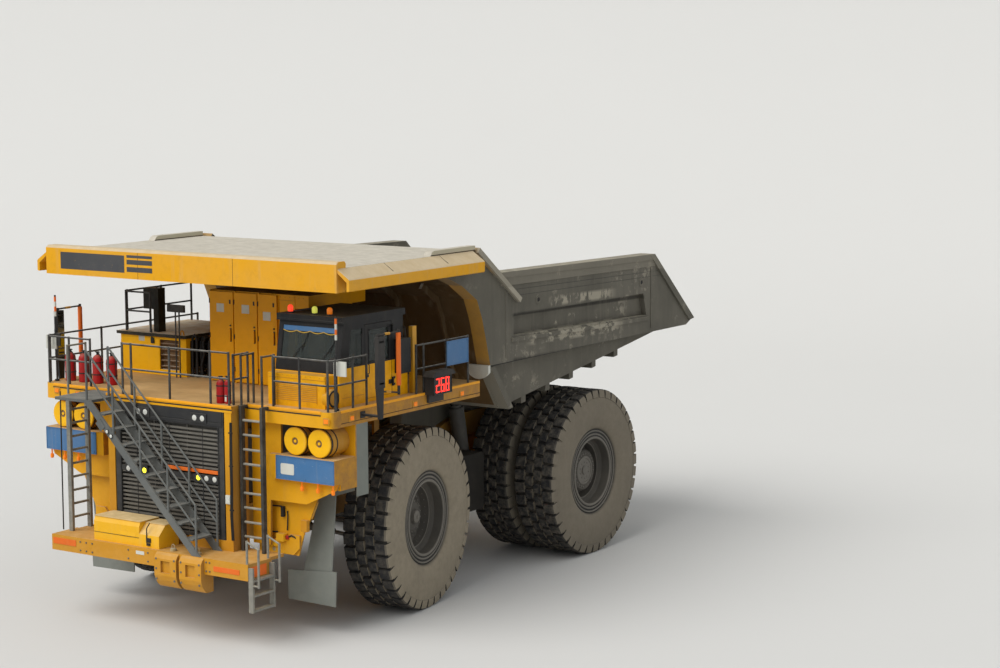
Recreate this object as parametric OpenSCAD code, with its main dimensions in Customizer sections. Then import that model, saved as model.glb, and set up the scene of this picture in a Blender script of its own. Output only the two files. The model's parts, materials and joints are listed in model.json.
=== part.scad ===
// Rigid electric-drive mining dump truck, standing unladen with its bed down.
// Millimetres. The front faces -Y, the cab side (the truck's left) is +X, and Z is up.
// The origin is on the ground, under the middle of the whole outline.
// Inside the modules, lengths along the truck are counted from the front axle.

/* [Wheels and axles] */
// Outer diameter of every tyre, out to its lugs
tyre_d = 3450; // [3400:10:3480]
// Width of a tyre over its sidewalls
tyre_w = 950; // [900:5:960]
// Width of a tyre across its tread
tread_w = 900; // [820:5:900]
// Depth of the tread lugs
lug_h = 57; // [40:1:70]
// Number of tread lugs round a tyre
lug_n = 32; // [24:1:40]
// Share of the tread's pitch that a lug fills, in percent
lug_fill = 72; // [60:1:85]
// Diameter of the rim seat under a tyre
rim_seat_d = 1448; // [1400:2:1480]
// Diameter over a rim flange
rim_flange_d = 1745; // [1700:5:1780]
// Width between the rim flanges
rim_w = 700; // [660:5:720]
// Distance between the axles
wheelbase = 5889; // [5850:1:5950]
// Half of the track of the front wheels
front_track_x = 2790; // [2770:5:2830]
// Sideways place of an outer rear tyre's middle
rear_outer_x = 2970; // [2950:5:2990]
// Distance between the middles of twin rear tyres
twin_pitch = 1110; // [1090:5:1130]
// Radius of a front wheel spindle
spindle_r = 200; // [180:5:220]
// Radius of a rear wheel spindle
rear_spindle_r = 330; // [300:5:350]

/* [Steering] */
// Angle at which the front wheels stand, to the truck's left
steer_rest = 8; // [0:1:15]
// Sideways place of the kingpins
kingpin_x = 1720; // [1700:5:1740]
// Radius of a front suspension strut
strut_r = 190; // [170:5:210]
// Distance of the tie rod's eye behind a kingpin
tie_arm = 620; // [560:5:640]
// Distance of the steering cylinder's eye ahead of a kingpin
cyl_arm = 420; // [400:5:440]
// Radius of the steering pins
steer_pin_r = 35; // [25:1:45]
// Sideways place of a steering cylinder's frame pin
cyl_pin_x = 600; // [560:5:640]
// Distance of a steering cylinder's frame pin ahead of the front axle
cyl_pin_y = 150; // [130:5:170]

/* [Frame] */
// Distance from the front axle forward to the bumper's face
bumper_front = 4060; // [4000:5:4080]
// Distance from the front axle forward to the tow blocks' faces
front_reach = 4150; // [4130:5:4200]
// Distance from the front axle back to the tip of the bed's tail
rear_reach = 9990; // [9900:5:10100]
// Inner face of a frame rail from the middle
rail_in = 450; // [420:5:460]
// Width of a frame rail
rail_w = 400; // [380:5:410]
// Distance of the bed pivot behind the front axle
pivot_y = 7150; // [7100:5:7200]
// Height of the bed pivot
pivot_z = 3250; // [3220:5:3280]
// Radius of the bed pivot pin
pivot_r = 90; // [70:5:110]
// Radius of the bore for a towing pin
tow_pin_r = 45; // [35:1:55]

/* [Bed] */
// Half of the bed's width over its boxed sides
bed_half = 3450; // [3400:5:3480]
// Half of the width between the bed's side plates
bed_in = 3140; // [3100:5:3160]
// Thickness of the bed's plates
bed_plate = 60; // [40:5:80]
// Height of the bed's top rail at the front
bed_top_z = 6206; // [6150:5:6260]
// Half of the canopy's width over its side flanges
canopy_half = 3770; // [3740:5:3800]
// Height of the top of the canopy
canopy_z = 6817; // [6780:5:6850]

/* [Hoist] */
// Sideways place of the hoist cylinders
hoist_x = 1120; // [1110:5:1130]
// Radius of a hoist barrel
hoist_r = 160; // [140:5:165]
// Radius of a hoist cylinder's middle stage
hoist_stage_r = 125; // [110:5:130]
// Radius of a hoist rod
hoist_rod_r = 85; // [70:5:95]

/* [Decks and cab] */
// Height of the walking surface of the decks
deck_z = 4190; // [4150:5:4230]
// Half of the width over the decks
deck_half = 3500; // [3460:5:3540]
// Depth of the edge beams of the decks
deck_edge = 290; // [260:5:320]
// Thickness of the deck plates
deck_t = 60; // [40:5:80]
// Height of the handrails above a deck
rail_h = 920; // [850:5:1100]
// Radius of a handrail tube
tube_r = 22; // [16:1:28]
// Height of the cab's roof
cab_top = 5790; // [5750:5:5830]
// Wall thickness of the cab
cab_wall = 60; // [50:5:80]
// Thickness of window glass
glass_t = 20; // [10:1:25]

/* [Fits] */
// Running clearance round pins, bores and seats
fit = 0.3; // [0.2:0.1:1]
// Gap between a door and its frame
door_gap = 8; // [6:1:12]

/* [Hidden] */
$fn = 48;

paint = "#f2b01e";
steel = "#3a3b3d";
grey = "#6f7173";
bed_paint = "#8b8678";
rubber = "#3b3a39";
rim_paint = "#857d70";
tan_paint = "#c9a56a";
glass = "#33464d";

axle_f_y = (front_reach - rear_reach) / 2;
tyre_r = tyre_d / 2;
axle_z = tyre_r;

// Shifts a piece from the front axle's place to the origin of the whole truck.
module at_axle() {
    translate([0, axle_f_y, 0]) children();
}

// Box between two corners.
module box(a, b) {
    translate(a) cube(b - a);
}

// Extrudes an outline of [y, z] points from x0 to x1.
module side_plate(points, x0, x1) {
    translate([x0, 0, 0]) rotate([90, 0, 90]) linear_extrude(x1 - x0) polygon(points);
}

// Extrudes an outline of [x, z] points from y0 to y1.
module front_plate(points, y0, y1) {
    translate([0, y1, 0]) rotate([90, 0, 0]) linear_extrude(y1 - y0) polygon(points);
}

// Cylinder along X from x0 to x1, centred at [y, z].
module rod_x(r, x0, x1, y, z) {
    translate([x0, y, z]) rotate([0, 90, 0]) cylinder(r = r, h = x1 - x0);
}

// Cylinder along Y from y0 to y1, centred at [x, z].
module rod_y(r, x, y0, y1, z) {
    translate([x, y0, z]) rotate([-90, 0, 0]) cylinder(r = r, h = y1 - y0);
}

// Cylinder along Z from z0 to z1.
module rod_z(r, x, y, z0, z1) {
    translate([x, y, z0]) cylinder(r = r, h = z1 - z0);
}

// Round bar from point a to point b.
module bar(a, b, r) {
    d = b - a;
    len = norm(d);
    translate(a) rotate([0, acos(d[2] / len), atan2(d[1], d[0])]) cylinder(r = r, h = len);
}

module both_sides() {
    children();
    mirror([1, 0, 0]) children();
}

// Frame

rail_x1 = rail_in + rail_w;
rail_front = -3410;
rail_end = 7560;
rail_nose_top = 1740;
rail_top_front = 2150;
rail_top_rear = 2900;
rail_low_front = 1500;
rail_low_rear = 2420;
kick_y0 = 1800;
kick_y1 = 4600;
sill_x0 = 500;
sill_x1 = 800;
ear_gap = 8;
pivot_ear_x1 = 890;

function rail_top(y) = y > kick_y1 ? rail_top_rear
    : rail_top_front + (rail_top_rear - rail_top_front) * (y - kick_y0) / (kick_y1 - kick_y0);

module rail_outline() {
    polygon([[rail_front, 1300], [-2900, 1300], [-2600, rail_low_front], [2900, rail_low_front],
             [4650, rail_low_rear], [rail_end, rail_low_rear], [rail_end, rail_top_rear],
             [kick_y1, rail_top_rear], [kick_y0, rail_top_front], [-2600, rail_top_front],
             [-2860, rail_nose_top], [rail_front, rail_nose_top]]);
}

module frame() {
    at_axle() color(paint) {
        both_sides() {
            translate([rail_in, 0, 0]) rotate([90, 0, 90]) linear_extrude(rail_w) rail_outline();
            pivot_bracket();
            strut_bracket();
            deck_column();
            hoist_foot();
            steer_foot();
            box([rail_x1 - 1, 6250, 2700], [1220, 6450, 2880]);
        }
        // Cross members: y0, y1, z0, z1
        for (c = [[-3300, -2900, 1320, 1700], [-250, 250, 1560, 2130], [2300, 2700, 1520, 2260],
                  [3750, 4080, 1680, 2300], [4700, 5000, 2440, 2880], [6900, 7400, 2440, 2880]])
            box([-rail_in - 1, c[0], c[2]], [rail_in + 1, c[1], c[3]]);
        rod_x(pivot_r, -pivot_ear_x1, pivot_ear_x1, pivot_y, pivot_z);
        // Cross beam under the rear of the decks
        box([-deck_half + deck_t, 1350, deck_z - deck_edge],
            [deck_half - deck_t, 1510, deck_z - deck_t]);
    }
}

module pivot_bracket() {
    for (x = [[rail_in - 20, sill_x0 - ear_gap], [sill_x1 + ear_gap, pivot_ear_x1]]) {
        side_plate([[pivot_y - 380, rail_top_rear - 10], [pivot_y + 380, rail_top_rear - 10],
                    [pivot_y + 180, pivot_z], [pivot_y - 180, pivot_z]], x[0], x[1]);
        rod_x(180, x[0], x[1], pivot_y, pivot_z);
    }
}

strut_pad_x = kingpin_x - strut_r - 90;

// Bracket that holds the upper part of a front strut beside the frame rail.
module strut_bracket() {
    side_plate([[-420, 1560], [420, 1560], [300, 3300], [-300, 3300]], rail_x1 - 1, rail_x1 + 120);
    side_plate([[-280, 2240], [280, 2240], [280, 3280], [-280, 3280]], rail_x1 + 119, strut_pad_x);
}

column_x0 = 1340;
column_x1 = 1500;

// Uprights between the frame and the decks.
module deck_column() {
    box([column_x0, grille_y, 1300], [column_x1, -2960, deck_z - 2 * deck_t]);
    box([column_x0, -3338, deck_z - 2 * deck_t - 1], [column_x1, -2960, deck_z - deck_t]);
    box([rail_x1 - 1, rail_front, 1300], [column_x0 + 1, -3000, rail_nose_top]);
    box([rail_x1 - 1, 1350, 1700], [1080, 1510, deck_z - deck_edge + 1]);
}

hoist_a = [4400, 1750];
hoist_b = [4050, 3400];
foot_w = 110;
foot_pin_r = 60;
top_pin_r = 42;
ear_in = hoist_rod_r + 6;
// How far the straight coupling lets the rod's eye fall short of its pin half way up
eye_slip = 58;
eye_slack = 7;

// Bracket under the rail with the bearing of a hoist cylinder's foot pin.
module hoist_foot() {
    difference() {
        union() {
            side_plate([[hoist_a[0] - 300, 2140], [hoist_a[0] + 200, 2410],
                        [hoist_a[0] + 120, hoist_a[1]], [hoist_a[0] - 120, hoist_a[1]]],
                       rail_x1 - foot_w, rail_x1);
            rod_x(120, rail_x1 - foot_w, rail_x1, hoist_a[0], hoist_a[1]);
        }
        rod_x(foot_pin_r + fit, rail_x1 - foot_w - 1, rail_x1 + 1, hoist_a[0], hoist_a[1]);
    }
}

steer_z = 1340;
cyl_boss_r = 75;

// Frame pin of a steering cylinder, hanging under the rail.
module steer_foot() {
    rod_z(steer_pin_r, cyl_pin_x, -cyl_pin_y, steer_z - 70, rail_low_front + 1);
    rod_z(60, cyl_pin_x, -cyl_pin_y, steer_z + 70, rail_low_front + 1);
    rod_z(60, cyl_pin_x, -cyl_pin_y, steer_z - 90, steer_z - 70);
}

// Engine as one plain block, with the radiator in front of it

grille_half = 1315;
grille_y = -3410;
grille_d = 140;
grille_z0 = 1740;
grille_z1 = deck_z - 2 * deck_t;
radiator_y0 = grille_y + grille_d;

module engine() {
    at_axle() color(grey) {
        box([-1180, radiator_y0, rail_nose_top], [1180, -2960, deck_z - deck_t]);
        box([-430, -2961, 2200], [430, -2400, 3300]);
        box([-430, -2401, rail_top_front - 20], [430, 900, 3450]);
    }
}

bar_z0 = 2790;
bar_z1 = 2880;
head_z = 3780;

module grille() {
    at_axle() color(steel) {
        difference() {
            box([-grille_half, grille_y, grille_z0], [grille_half, radiator_y0, grille_z1]);
            box([-grille_half + 130, grille_y - 10, grille_z0 + 60],
                [grille_half - 130, radiator_y0 + 10, bar_z0]);
            box([-grille_half + 130, grille_y - 10, bar_z1],
                [grille_half - 130, radiator_y0 + 10, head_z]);
        }
        grille_slats(grille_z0 + 60, bar_z0);
        grille_slats(bar_z1, head_z);
        for (x = [-400, 400])
            box([x - 12, grille_y + 59, grille_z0 + 50], [x + 12, grille_y + 90, head_z + 10]);
    }
}

slat_pitch = 76;
slat_t = 34;

module grille_slats(z0, z1) {
    for (z = [z0 + 40 : slat_pitch : z1 - slat_t])
        box([-grille_half + 129, grille_y + 20, z], [grille_half - 129, grille_y + 60, z + slat_t]);
}

bumper_half = 2380;
bumper_z0 = 1256;
bumper_z1 = 1550;
bumper_back = -3410;
platform_back = -3000;

module bumper() {
    at_axle() color(paint) {
        difference() {
            box([-bumper_half, -bumper_front, bumper_z0], [bumper_half, bumper_back, bumper_z1]);
            both_sides() box([1560, -bumper_front + 60, bumper_z0 - 10],
                             [bumper_half - 60, bumper_back + 10, bumper_z1 - 60]);
            for (x = tow_x)
                tow_pin_bore(x);
        }
        both_sides() box([column_x1, bumper_back - 1, bumper_z1 - 60],
                         [bumper_half - 60, platform_back, bumper_z1]);
        for (x = tow_x)
            difference() {
                union() {
                    side_plate([[-front_reach + 40, 1500], [-front_reach, 1440],
                                [-front_reach, 1130], [-front_reach + 30, 1040], [-4060, 950],
                                [-4000, 900], [-3820, 900], [-3820, bumper_z0 + 1],
                                [-bumper_front, bumper_z0 + 1], [-bumper_front - 1, 1540]],
                               x, x + tow_w);
                }
                box([x + 150, -front_reach - 10, 1180], [x + tow_w - 150, -front_reach + 50, 1400]);
                tow_pin_bore(x);
            }
    }
}

tow_x = [260, 850];
tow_w = 520;
tow_pin_y = -3920;

module tow_pin_bore(x) {
    rod_z(tow_pin_r, x + tow_w / 2, tow_pin_y, 880, bumper_z1 + 10);
}

module battery_box() {
    at_axle() color(paint) {
        side_plate([[-3980, bumper_z1], [-3450, bumper_z1], [-3450, 1990], [-3940, 1990],
                    [-3980, 1900]], -1370, -250);
        side_plate([[-3980, bumper_z1], [-3450, bumper_z1], [-3450, 1960], [-3800, 1960],
                    [-3980, 1780]], -250, 230);
    }
}

// Decks

deck_split = 1525;
deck_front = -3050;
deck_back = 1510;

module deck_center() {
    at_axle() color(tan_paint) {
        box([-deck_split, -3420, deck_z - deck_t], [deck_split, deck_back, deck_z]);
        box([-deck_split, -3420, deck_z - 2 * deck_t], [deck_split, -3340, deck_z - deck_t + 1]);
    }
}

corner_r = 160;

module side_deck_outline() {
    w = deck_half - deck_split;
    difference() {
        square([w, deck_back - deck_front]);
        translate([w - corner_r, -1]) square([corner_r + 1, corner_r + 1]);
    }
    translate([w - corner_r, corner_r]) circle(r = corner_r);
}

// Plate, edge beams and the sheet-metal front under one side deck.
module side_deck() {
    translate([deck_split, deck_front, deck_z - deck_t]) linear_extrude(deck_t) side_deck_outline();
    translate([deck_split, deck_front, deck_z - deck_edge]) linear_extrude(deck_edge - deck_t + 1)
        difference() {
            side_deck_outline();
            translate([-1, deck_t]) square([deck_half - deck_split - corner_r + 1, 6000]);
            translate([-1, corner_r]) square([deck_half - deck_split - deck_t + 1, 6000]);
            translate([deck_half - deck_split - corner_r, corner_r]) circle(r = corner_r - deck_t);
        }
    fender_front();
}

skirt_y = -2880;
board_y = -3010;
board_z0 = 2900;
board_z1 = 3335;
clean_back = -2400;

// Sheet front of a fender, the beam that carries the board, and the panel behind the cleaners.
module fender_front() {
    box([deck_split, deck_front + deck_t - 1, deck_z - deck_edge],
        [deck_half - 200, skirt_y + 50, deck_z - deck_edge + 60]);
    front_plate([[deck_split, 1634], [1920, 1634], [1940, 2461], [2764, 2466], [3440, 2786],
                 [deck_half - 1, board_z0 + 1], [2200, board_z0 + 1], [2200, deck_z - deck_edge + 1],
                 [deck_split, deck_z - deck_edge + 1]], skirt_y, skirt_y + 50);
    box([2020, board_y, board_z0], [deck_half, skirt_y + 50, board_z1]);
    side_plate([[skirt_y + 49, 2775], [-2363, 2775], [-2363, board_z1], [skirt_y + 49, board_z1]],
               deck_half - 60, deck_half);
    box([2200, clean_back, board_z1 - 60], [deck_half - 1, clean_back + 37, deck_z - deck_t + 1]);
    box([2200, skirt_y + 49, board_z1 - 60], [deck_half - 59, clean_back + 1, board_z1]);
    // Sheet set back below, with a slanted outer edge, and the bracket at its foot
    front_plate([[deck_split, 1460], [2440, 1460], [2570, 1890], [2710, 2150], [2880, 2520],
                 [2940, 2800], [deck_split, 2800]], skirt_y + 160, skirt_y + 190);
    box([2000, skirt_y + 49, 2440], [2100, skirt_y + 161, 2790]);
    box([2400, skirt_y + 49, 2480], [2500, skirt_y + 161, 2790]);
    front_plate([[1750, 1480], [2360, 1480], [2500, 1620], [2500, 1840], [2260, 1840],
                 [2180, 1740], [1750, 1740]], skirt_y + 110, skirt_y + 161);
    box([deck_split, skirt_y + 49, 1640], [1600, skirt_y + 161, 3960]);
}

module deck_left() {
    at_axle() color(paint) side_deck();
}

module deck_right() {
    at_axle() color(paint) mirror([1, 0, 0]) side_deck();
}

clean_z = 3600;
clean_r = 255;

module air_cleaners() {
    at_axle() color(paint) both_sides()
        for (x = [2580, 3120]) {
            difference() {
                rod_y(clean_r - 20, x, -2930, -2859, clean_z);
                rod_y(60, x, -2940, -2859, clean_z);
            }
            rod_y(clean_r, x, -2860, clean_back, clean_z);
            box([x - 120, -2700, board_z1], [x + 120, -2500, clean_z - 100]);
        }
}

side_rail_x = deck_half - 60;
rail_edge_x = deck_half - 40;

module number_boards() {
    at_axle() color("#3f74a3") {
        both_sides() box([2200, board_y - 12, 2910], [deck_half, board_y, 3330]);
        box([side_rail_x + tube_r, 475, 4605], [side_rail_x + tube_r + 10, 1165, 5060]);
    }
}

// Cab

cab_x0 = 1800;
cab_x1 = 3250;
cab_y1 = -610;
base_front = -2800;
base_z = 4770;
cab_front = -2520;
ws_top_y = -2370;
roof_z = cab_top - 120;
door_y0 = -1760;
door_y1 = -960;
door_z0 = deck_z + 60;
door_z1 = 5600;
win_z0 = 4900;
win_z1 = 5540;

module cab_shell() {
    at_axle() color(steel) {
        difference() {
            side_plate([[cab_front, deck_z], [cab_y1 + 130, deck_z], [cab_y1 + 130, base_z],
                        [cab_y1, base_z + 60], [cab_y1, roof_z],
                        [ws_top_y, roof_z], [cab_front, base_z]], cab_x0, cab_x1);
            side_plate([[cab_front + 70, deck_z + cab_wall], [cab_y1 - cab_wall, deck_z + cab_wall],
                        [cab_y1 - cab_wall, roof_z - cab_wall],
                        [ws_top_y + 60, roof_z - cab_wall], [cab_front + 70, base_z]],
                       cab_x0 + cab_wall, cab_x1 - cab_wall);
            windscreen(0);
            for (x = [cab_x0, cab_x1 - cab_wall])
                translate([x - 10, 0, 0]) {
                    box([0, door_y0, door_z0], [cab_wall + 20, door_y1, door_z1]);
                    quarter_window(0, cab_wall + 20);
                }
            box([cab_x0 + 250, cab_y1 - cab_wall - 10, win_z0],
                [cab_x1 - 250, cab_y1 + 10, win_z1]);
        }
        box([cab_x0 + cab_wall, base_front, deck_z], [3150, cab_front + 1, base_z]);
        box([cab_x0 - 20, ws_top_y - 60, roof_z - 1], [cab_x1 + 20, cab_y1 + 50, cab_top]);
        box([cab_x1 - 1, -880, 4614], [cab_x1 + 150, -573, 5250]);
        door_hinges(cab_x1);
        mirror([1, 0, 0]) door_hinges(-cab_x0);
    }
}

// Windscreen outline, drawn in by inset all round.
module windscreen(inset) {
    side_plate([[-2700, 5000 + inset], [-2300, 5000 + inset], [-2300, 5590 - inset],
                [-2700, 5590 - inset]], cab_x0 + 90 + inset, cab_x1 - 120 - inset);
}

// Front side window outline from x0 to x0 + t, drawn in by inset all round.
module quarter_window(inset, t) {
    side_plate([[-2250 + inset, win_z0 + inset], [-1830 - inset, win_z0 + inset],
                [-1830 - inset, win_z1 - inset], [-2160 + inset, win_z1 - inset]], 0, t);
}

module cab_glass() {
    at_axle() color(glass) {
        intersection() {
            windscreen(fit);
            side_plate([[-2502, 4770], [-2502 + glass_t, 4770], [-2352 + glass_t, roof_z],
                        [-2352, roof_z]], cab_x0, cab_x1);
        }
        for (x = [cab_x0 + 20, cab_x1 - 20 - glass_t])
            translate([x, 0, 0]) quarter_window(fit, glass_t);
        box([cab_x0 + 250 + fit, cab_y1 - 20 - glass_t, win_z0 + fit],
            [cab_x1 - 250 - fit, cab_y1 - 20, win_z1 - fit]);
    }
}

module cab_interior() {
    at_axle() color(steel) {
        for (x = [2150, 2800]) {
            box([x - 150, -1500, deck_z + cab_wall], [x + 150, -1150, 4561]);
            box([x - 250, -1600, 4560], [x + 250, -1080, 4700]);
            box([x - 240, -1180, 4699], [x + 240, -1060, 5350]);
        }
        side_plate([[-2400, deck_z + cab_wall], [-2250, deck_z + cab_wall], [-2150, 4800],
                    [-2150, 4880], [-2400, 4880]], 1900, 3150);
        bar([2800, -2200, 4860], [2800, -1905, 5035], 40);
        translate([2800, -1890, 5045]) rotate([59, 0, 0]) {
            rotate_extrude() translate([190, 0]) circle(r = 18);
            for (a = [90, 210, 330])
                rotate([0, 0, a]) translate([0, -18, -12]) cube([190, 36, 24]);
            cylinder(r = 60, h = 40, center = true);
        }
    }
}

hinge_out = 26;
hinge_r = 20;
hinge_pin_r = 9;
hinge_len = 40;
hinge_z = [4480, 5440];

// Door leaf on the +X wall whose outer face is at x1, with its window cut and hinge eyes.
module door_leaf(x1) {
    difference() {
        box([x1 - cab_wall, door_y0 + door_gap, door_z0 + door_gap],
            [x1, door_y1 - door_gap, door_z1 - door_gap]);
        box([x1 - cab_wall - 10, door_y0 + 110, win_z0], [x1 + 10, door_y1 - 90, 5500]);
    }
    for (z = hinge_z)
        difference() {
            union() {
                rod_z(hinge_r, x1 + hinge_out, door_y1, z - hinge_len + fit, z + hinge_len - fit);
                box([x1 - 1, door_y1 - 110, z - hinge_len + fit],
                    [x1 + 12, door_y1 - 8, z + hinge_len - fit]);
            }
            rod_z(hinge_pin_r + fit, x1 + hinge_out, door_y1, z - 100, z + 100);
        }
}

// Hinge pins and straps on the cab wall whose outer face is at x1.
module door_hinges(x1) {
    for (z = hinge_z) {
        rod_z(hinge_pin_r, x1 + hinge_out, door_y1, z - 60, z + 60);
        for (h = [z - 2 * hinge_len, z + hinge_len]) {
            rod_z(hinge_r, x1 + hinge_out, door_y1, h, h + hinge_len);
            box([x1 - 1, door_y1 + 8, h], [x1 + 12, door_y1 + 90, h + hinge_len]);
        }
    }
}

module door_pane(x0) {
    box([x0, door_y0 + 110 + fit, win_z0 + fit], [x0 + glass_t, door_y1 - 90 - fit, 5500 - fit]);
}

module cab_door_left() {
    at_axle() color(paint) door_leaf(cab_x1);
}

module cab_door_right() {
    at_axle() color(paint) mirror([1, 0, 0]) door_leaf(-cab_x0);
}

module door_glass_left() {
    at_axle() color(glass) door_pane(cab_x1 - 20 - glass_t);
}

module door_glass_right() {
    at_axle() color(glass) door_pane(cab_x0 + 20);
}

// Control cabinet with three doors, and the retarding grid box

cabinet_x = [-935, -325, 264, 745];
cabinet_x1 = 1150;
cabinet_y0 = -1130;
cabinet_y1 = 600;
cabinet_z1 = 5950;
leaf_t = 40;

leaf_z0 = deck_z + 25;
leaf_z1 = cabinet_z1 - 25;
leaf_y = cabinet_y0 - door_gap - leaf_t / 2;
leaf_pin_r = 9;

function leaf_x(i) = cabinet_x[i] + door_gap + leaf_t / 2;

module control_cabinet() {
    at_axle() color(paint) {
        difference() {
            union() {
                box([cabinet_x[0], cabinet_y0, deck_z], [cabinet_x1, cabinet_y1, cabinet_z1]);
                // Top that reaches over the gap beside the cab
                box([cabinet_x1 - 1, cabinet_y0, 5700], [1470, cabinet_y1, cabinet_z1]);
            }
            for (i = [0 : 2])
                box([cabinet_x[i] + 40, cabinet_y0 - 10, deck_z + 60],
                    [cabinet_x[i + 1] - 40, cabinet_y1 - 200, cabinet_z1 - 60]);
        }
        for (i = [0 : 2]) {
            leaf_lug(i, deck_z, leaf_z0 - fit);
            leaf_lug(i, leaf_z1 + fit, cabinet_z1);
            rod_z(leaf_pin_r, leaf_x(i), leaf_y, deck_z, leaf_z0 + 30);
            rod_z(leaf_pin_r, leaf_x(i), leaf_y, leaf_z1 - 30, cabinet_z1);
        }
    }
}

// Lug that carries a pivot of leaf i between z0 and z1.
module leaf_lug(i, z0, z1) {
    box([leaf_x(i) - 16, leaf_y - 14, z0], [leaf_x(i) + 16, cabinet_y0 + 1, z1]);
}

// Leaf i of the cabinet's doors, with a rounded pivot edge on the left and a handle.
module cabinet_leaf(i) {
    x1 = cabinet_x[i + 1] - door_gap;
    difference() {
        union() {
            box([leaf_x(i), leaf_y - leaf_t / 2, leaf_z0], [x1, leaf_y + leaf_t / 2, leaf_z1]);
            rod_z(leaf_t / 2, leaf_x(i), leaf_y, leaf_z0, leaf_z1);
        }
        for (z = [leaf_z0 - 1, leaf_z1 - 40])
            rod_z(leaf_pin_r + fit, leaf_x(i), leaf_y, z, z + 41);
    }
    box([x1 - 82, leaf_y - leaf_t / 2 - 38, 5000], [x1 - 52, leaf_y - leaf_t / 2 + 1, 5220]);
}

module cabinet_door_1() {
    at_axle() color(paint) cabinet_leaf(0);
}

module cabinet_door_2() {
    at_axle() color(paint) cabinet_leaf(1);
}

module cabinet_door_3() {
    at_axle() color(paint) cabinet_leaf(2);
}

grid_margin = 190;
grid_x0 = grid_margin - deck_half;
grid_x1 = -1600;
grid_y0 = -1110;
grid_z1 = 4950;

module retard_grid_box() {
    at_axle() color(paint) {
        difference() {
            box([grid_x0, grid_y0, deck_z], [grid_x1, 900, grid_z1]);
            box([-2290, grid_y0 - 10, 4300], [-1790, grid_y0 + 100, 4890]);
            // Open bay in the side, behind a corner column
            box([-2150, grid_y0 + 124, 4250], [grid_x1 + 10, 780, 4880]);
        }
        for (z = [4350 : 110 : 4840])
            box([-2291, grid_y0 + 30, z], [-1789, grid_y0 + 90, z + 20]);
        box([grid_x0 - 50, grid_y0 - 70, grid_z1 - 1], [grid_x1 + 50, 950, grid_z1 + 60]);
        // Air duct, wider above
        box([-2530, -1000, grid_z1 + 59], [-2400, -800, 5458]);
        box([-2790, -1000, 5457], [-2400, -800, 5870]);
    }
}

// Stairs, ladders and rails

stair_y0 = -4060;
stair_y1 = -3450;
stair_foot = 1084;
stair_top = -1500;
stair_w = 190;
landing_z = 4150;
landing_x0 = -2200;

module front_stairs() {
    at_axle() color(grey) {
        for (y = [stair_y0, stair_y1 - 40])
            front_plate([[stair_foot, bumper_z1], [stair_foot + stair_w, bumper_z1],
                         [stair_top + stair_w, landing_z], [stair_top, landing_z]], y, y + 40);
        for (i = [1 : stair_n])
            stair_step(i / (stair_n + 1));
        box([landing_x0, stair_y0, landing_z - 50], [stair_top + stair_w, stair_y1, landing_z]);
        box([landing_x0, stair_y1 - 1, landing_z - 50], [-deck_split - 5, deck_front, landing_z]);
        for (y = [stair_y0 + 20, stair_y1 - 20])
            stair_rail(y);
    }
}

stair_n = 9;

// Sloping handrails over one stringer, on posts.
module stair_rail(y) {
    x0 = stair_foot + stair_w / 2;
    x1 = stair_top + stair_w / 2;
    for (h = [rail_h * 0.55, rail_h])
        bar([x0, y, bumper_z1 + h], [x1, y, landing_z + h], tube_r * 0.8);
    for (k = [0 : 0.25 : 1])
        rod_z(tube_r, x0 + (x1 - x0) * k, y, bumper_z1 + (landing_z - bumper_z1) * k - (k == 0 ? 0 : 60),
              bumper_z1 + (landing_z - bumper_z1) * k + rail_h);
}

module stair_step(t) {
    x = stair_foot + 20 + (stair_top - stair_foot) * t;
    z = bumper_z1 + (landing_z - bumper_z1) * t;
    box([x, stair_y0 + 39, z], [x + 230, stair_y1 - 39, z + 30]);
}

module ladders() {
    at_axle() color(steel) {
        ladder_x(1540, 2080, -3200, bumper_z1, deck_z, 9);
        for (x = [1540, 2020]) {
            box([x, -3156, deck_z - 50], [x + 60, deck_front, deck_z]);
            // Grab loop that carries on above the deck
            rod_z(tube_r, x + 30, -3200, deck_z - 1, deck_z + rail_h);
            rod_z(tube_r, x + 30, -2860, deck_z, deck_z + rail_h);
            bar([x + 30, -3200, deck_z + rail_h - tube_r],
                [x + 30, -2860, deck_z + rail_h - tube_r], tube_r * 0.8);
        }
        ladder_y(-2240, -3700, -3160, bumper_z1, landing_z - 50, 9);
        for (y = [-3670, -3190])
            rod_z(tube_r, -2240, y, landing_z, landing_z + rail_h);
        bar([-2240, -3670, landing_z + rail_h - tube_r], [-2240, -3190, landing_z + rail_h - tube_r],
            tube_r * 0.8);
        boarding_ladder();
    }
}

// Ladder whose rungs run along X, between x0 and x1.
module ladder_x(x0, x1, y, z0, z1, n) {
    for (x = [x0, x1 - 60])
        box([x, y - 45, z0], [x + 60, y + 45, z1]);
    for (i = [1 : n])
        rod_x(23, x0 + 59, x1 - 59, y, z0 + (z1 - z0) * i / (n + 1));
}

// Ladder whose rungs run along Y, between y0 and y1.
module ladder_y(x, y0, y1, z0, z1, n) {
    for (y = [y0, y1 - 60])
        box([x - 45, y, z0], [x + 45, y + 60, z1]);
    for (i = [1 : n])
        rod_y(23, x, y0 + 59, y1 - 59, z0 + (z1 - z0) * i / (n + 1));
}

module boarding_ladder() {
    for (y = [-4050, -3480]) {
        box([bumper_half, y, 690], [bumper_half + 100, y + 40, bumper_z1 - 60]);
        // Curved hand bar beside the step
        rod_z(tube_r, bumper_half - 40, y + 20, bumper_z1, bumper_z1 + 420);
        rod_z(tube_r, bumper_half + 220, y + 20, 1150, bumper_z1 + 300);
        bar([bumper_half - 40, y + 20, bumper_z1 + 400], [bumper_half + 220, y + 20, bumper_z1 + 290],
            tube_r * 0.8);
        bar([bumper_half + 90, y + 20, 1180], [bumper_half + 220, y + 20, 1180], tube_r * 0.8);
    }
    for (z = [700, 970, 1240])
        box([bumper_half, -4011, z], [bumper_half + 100, -3479, z + 35]);
}

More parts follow.
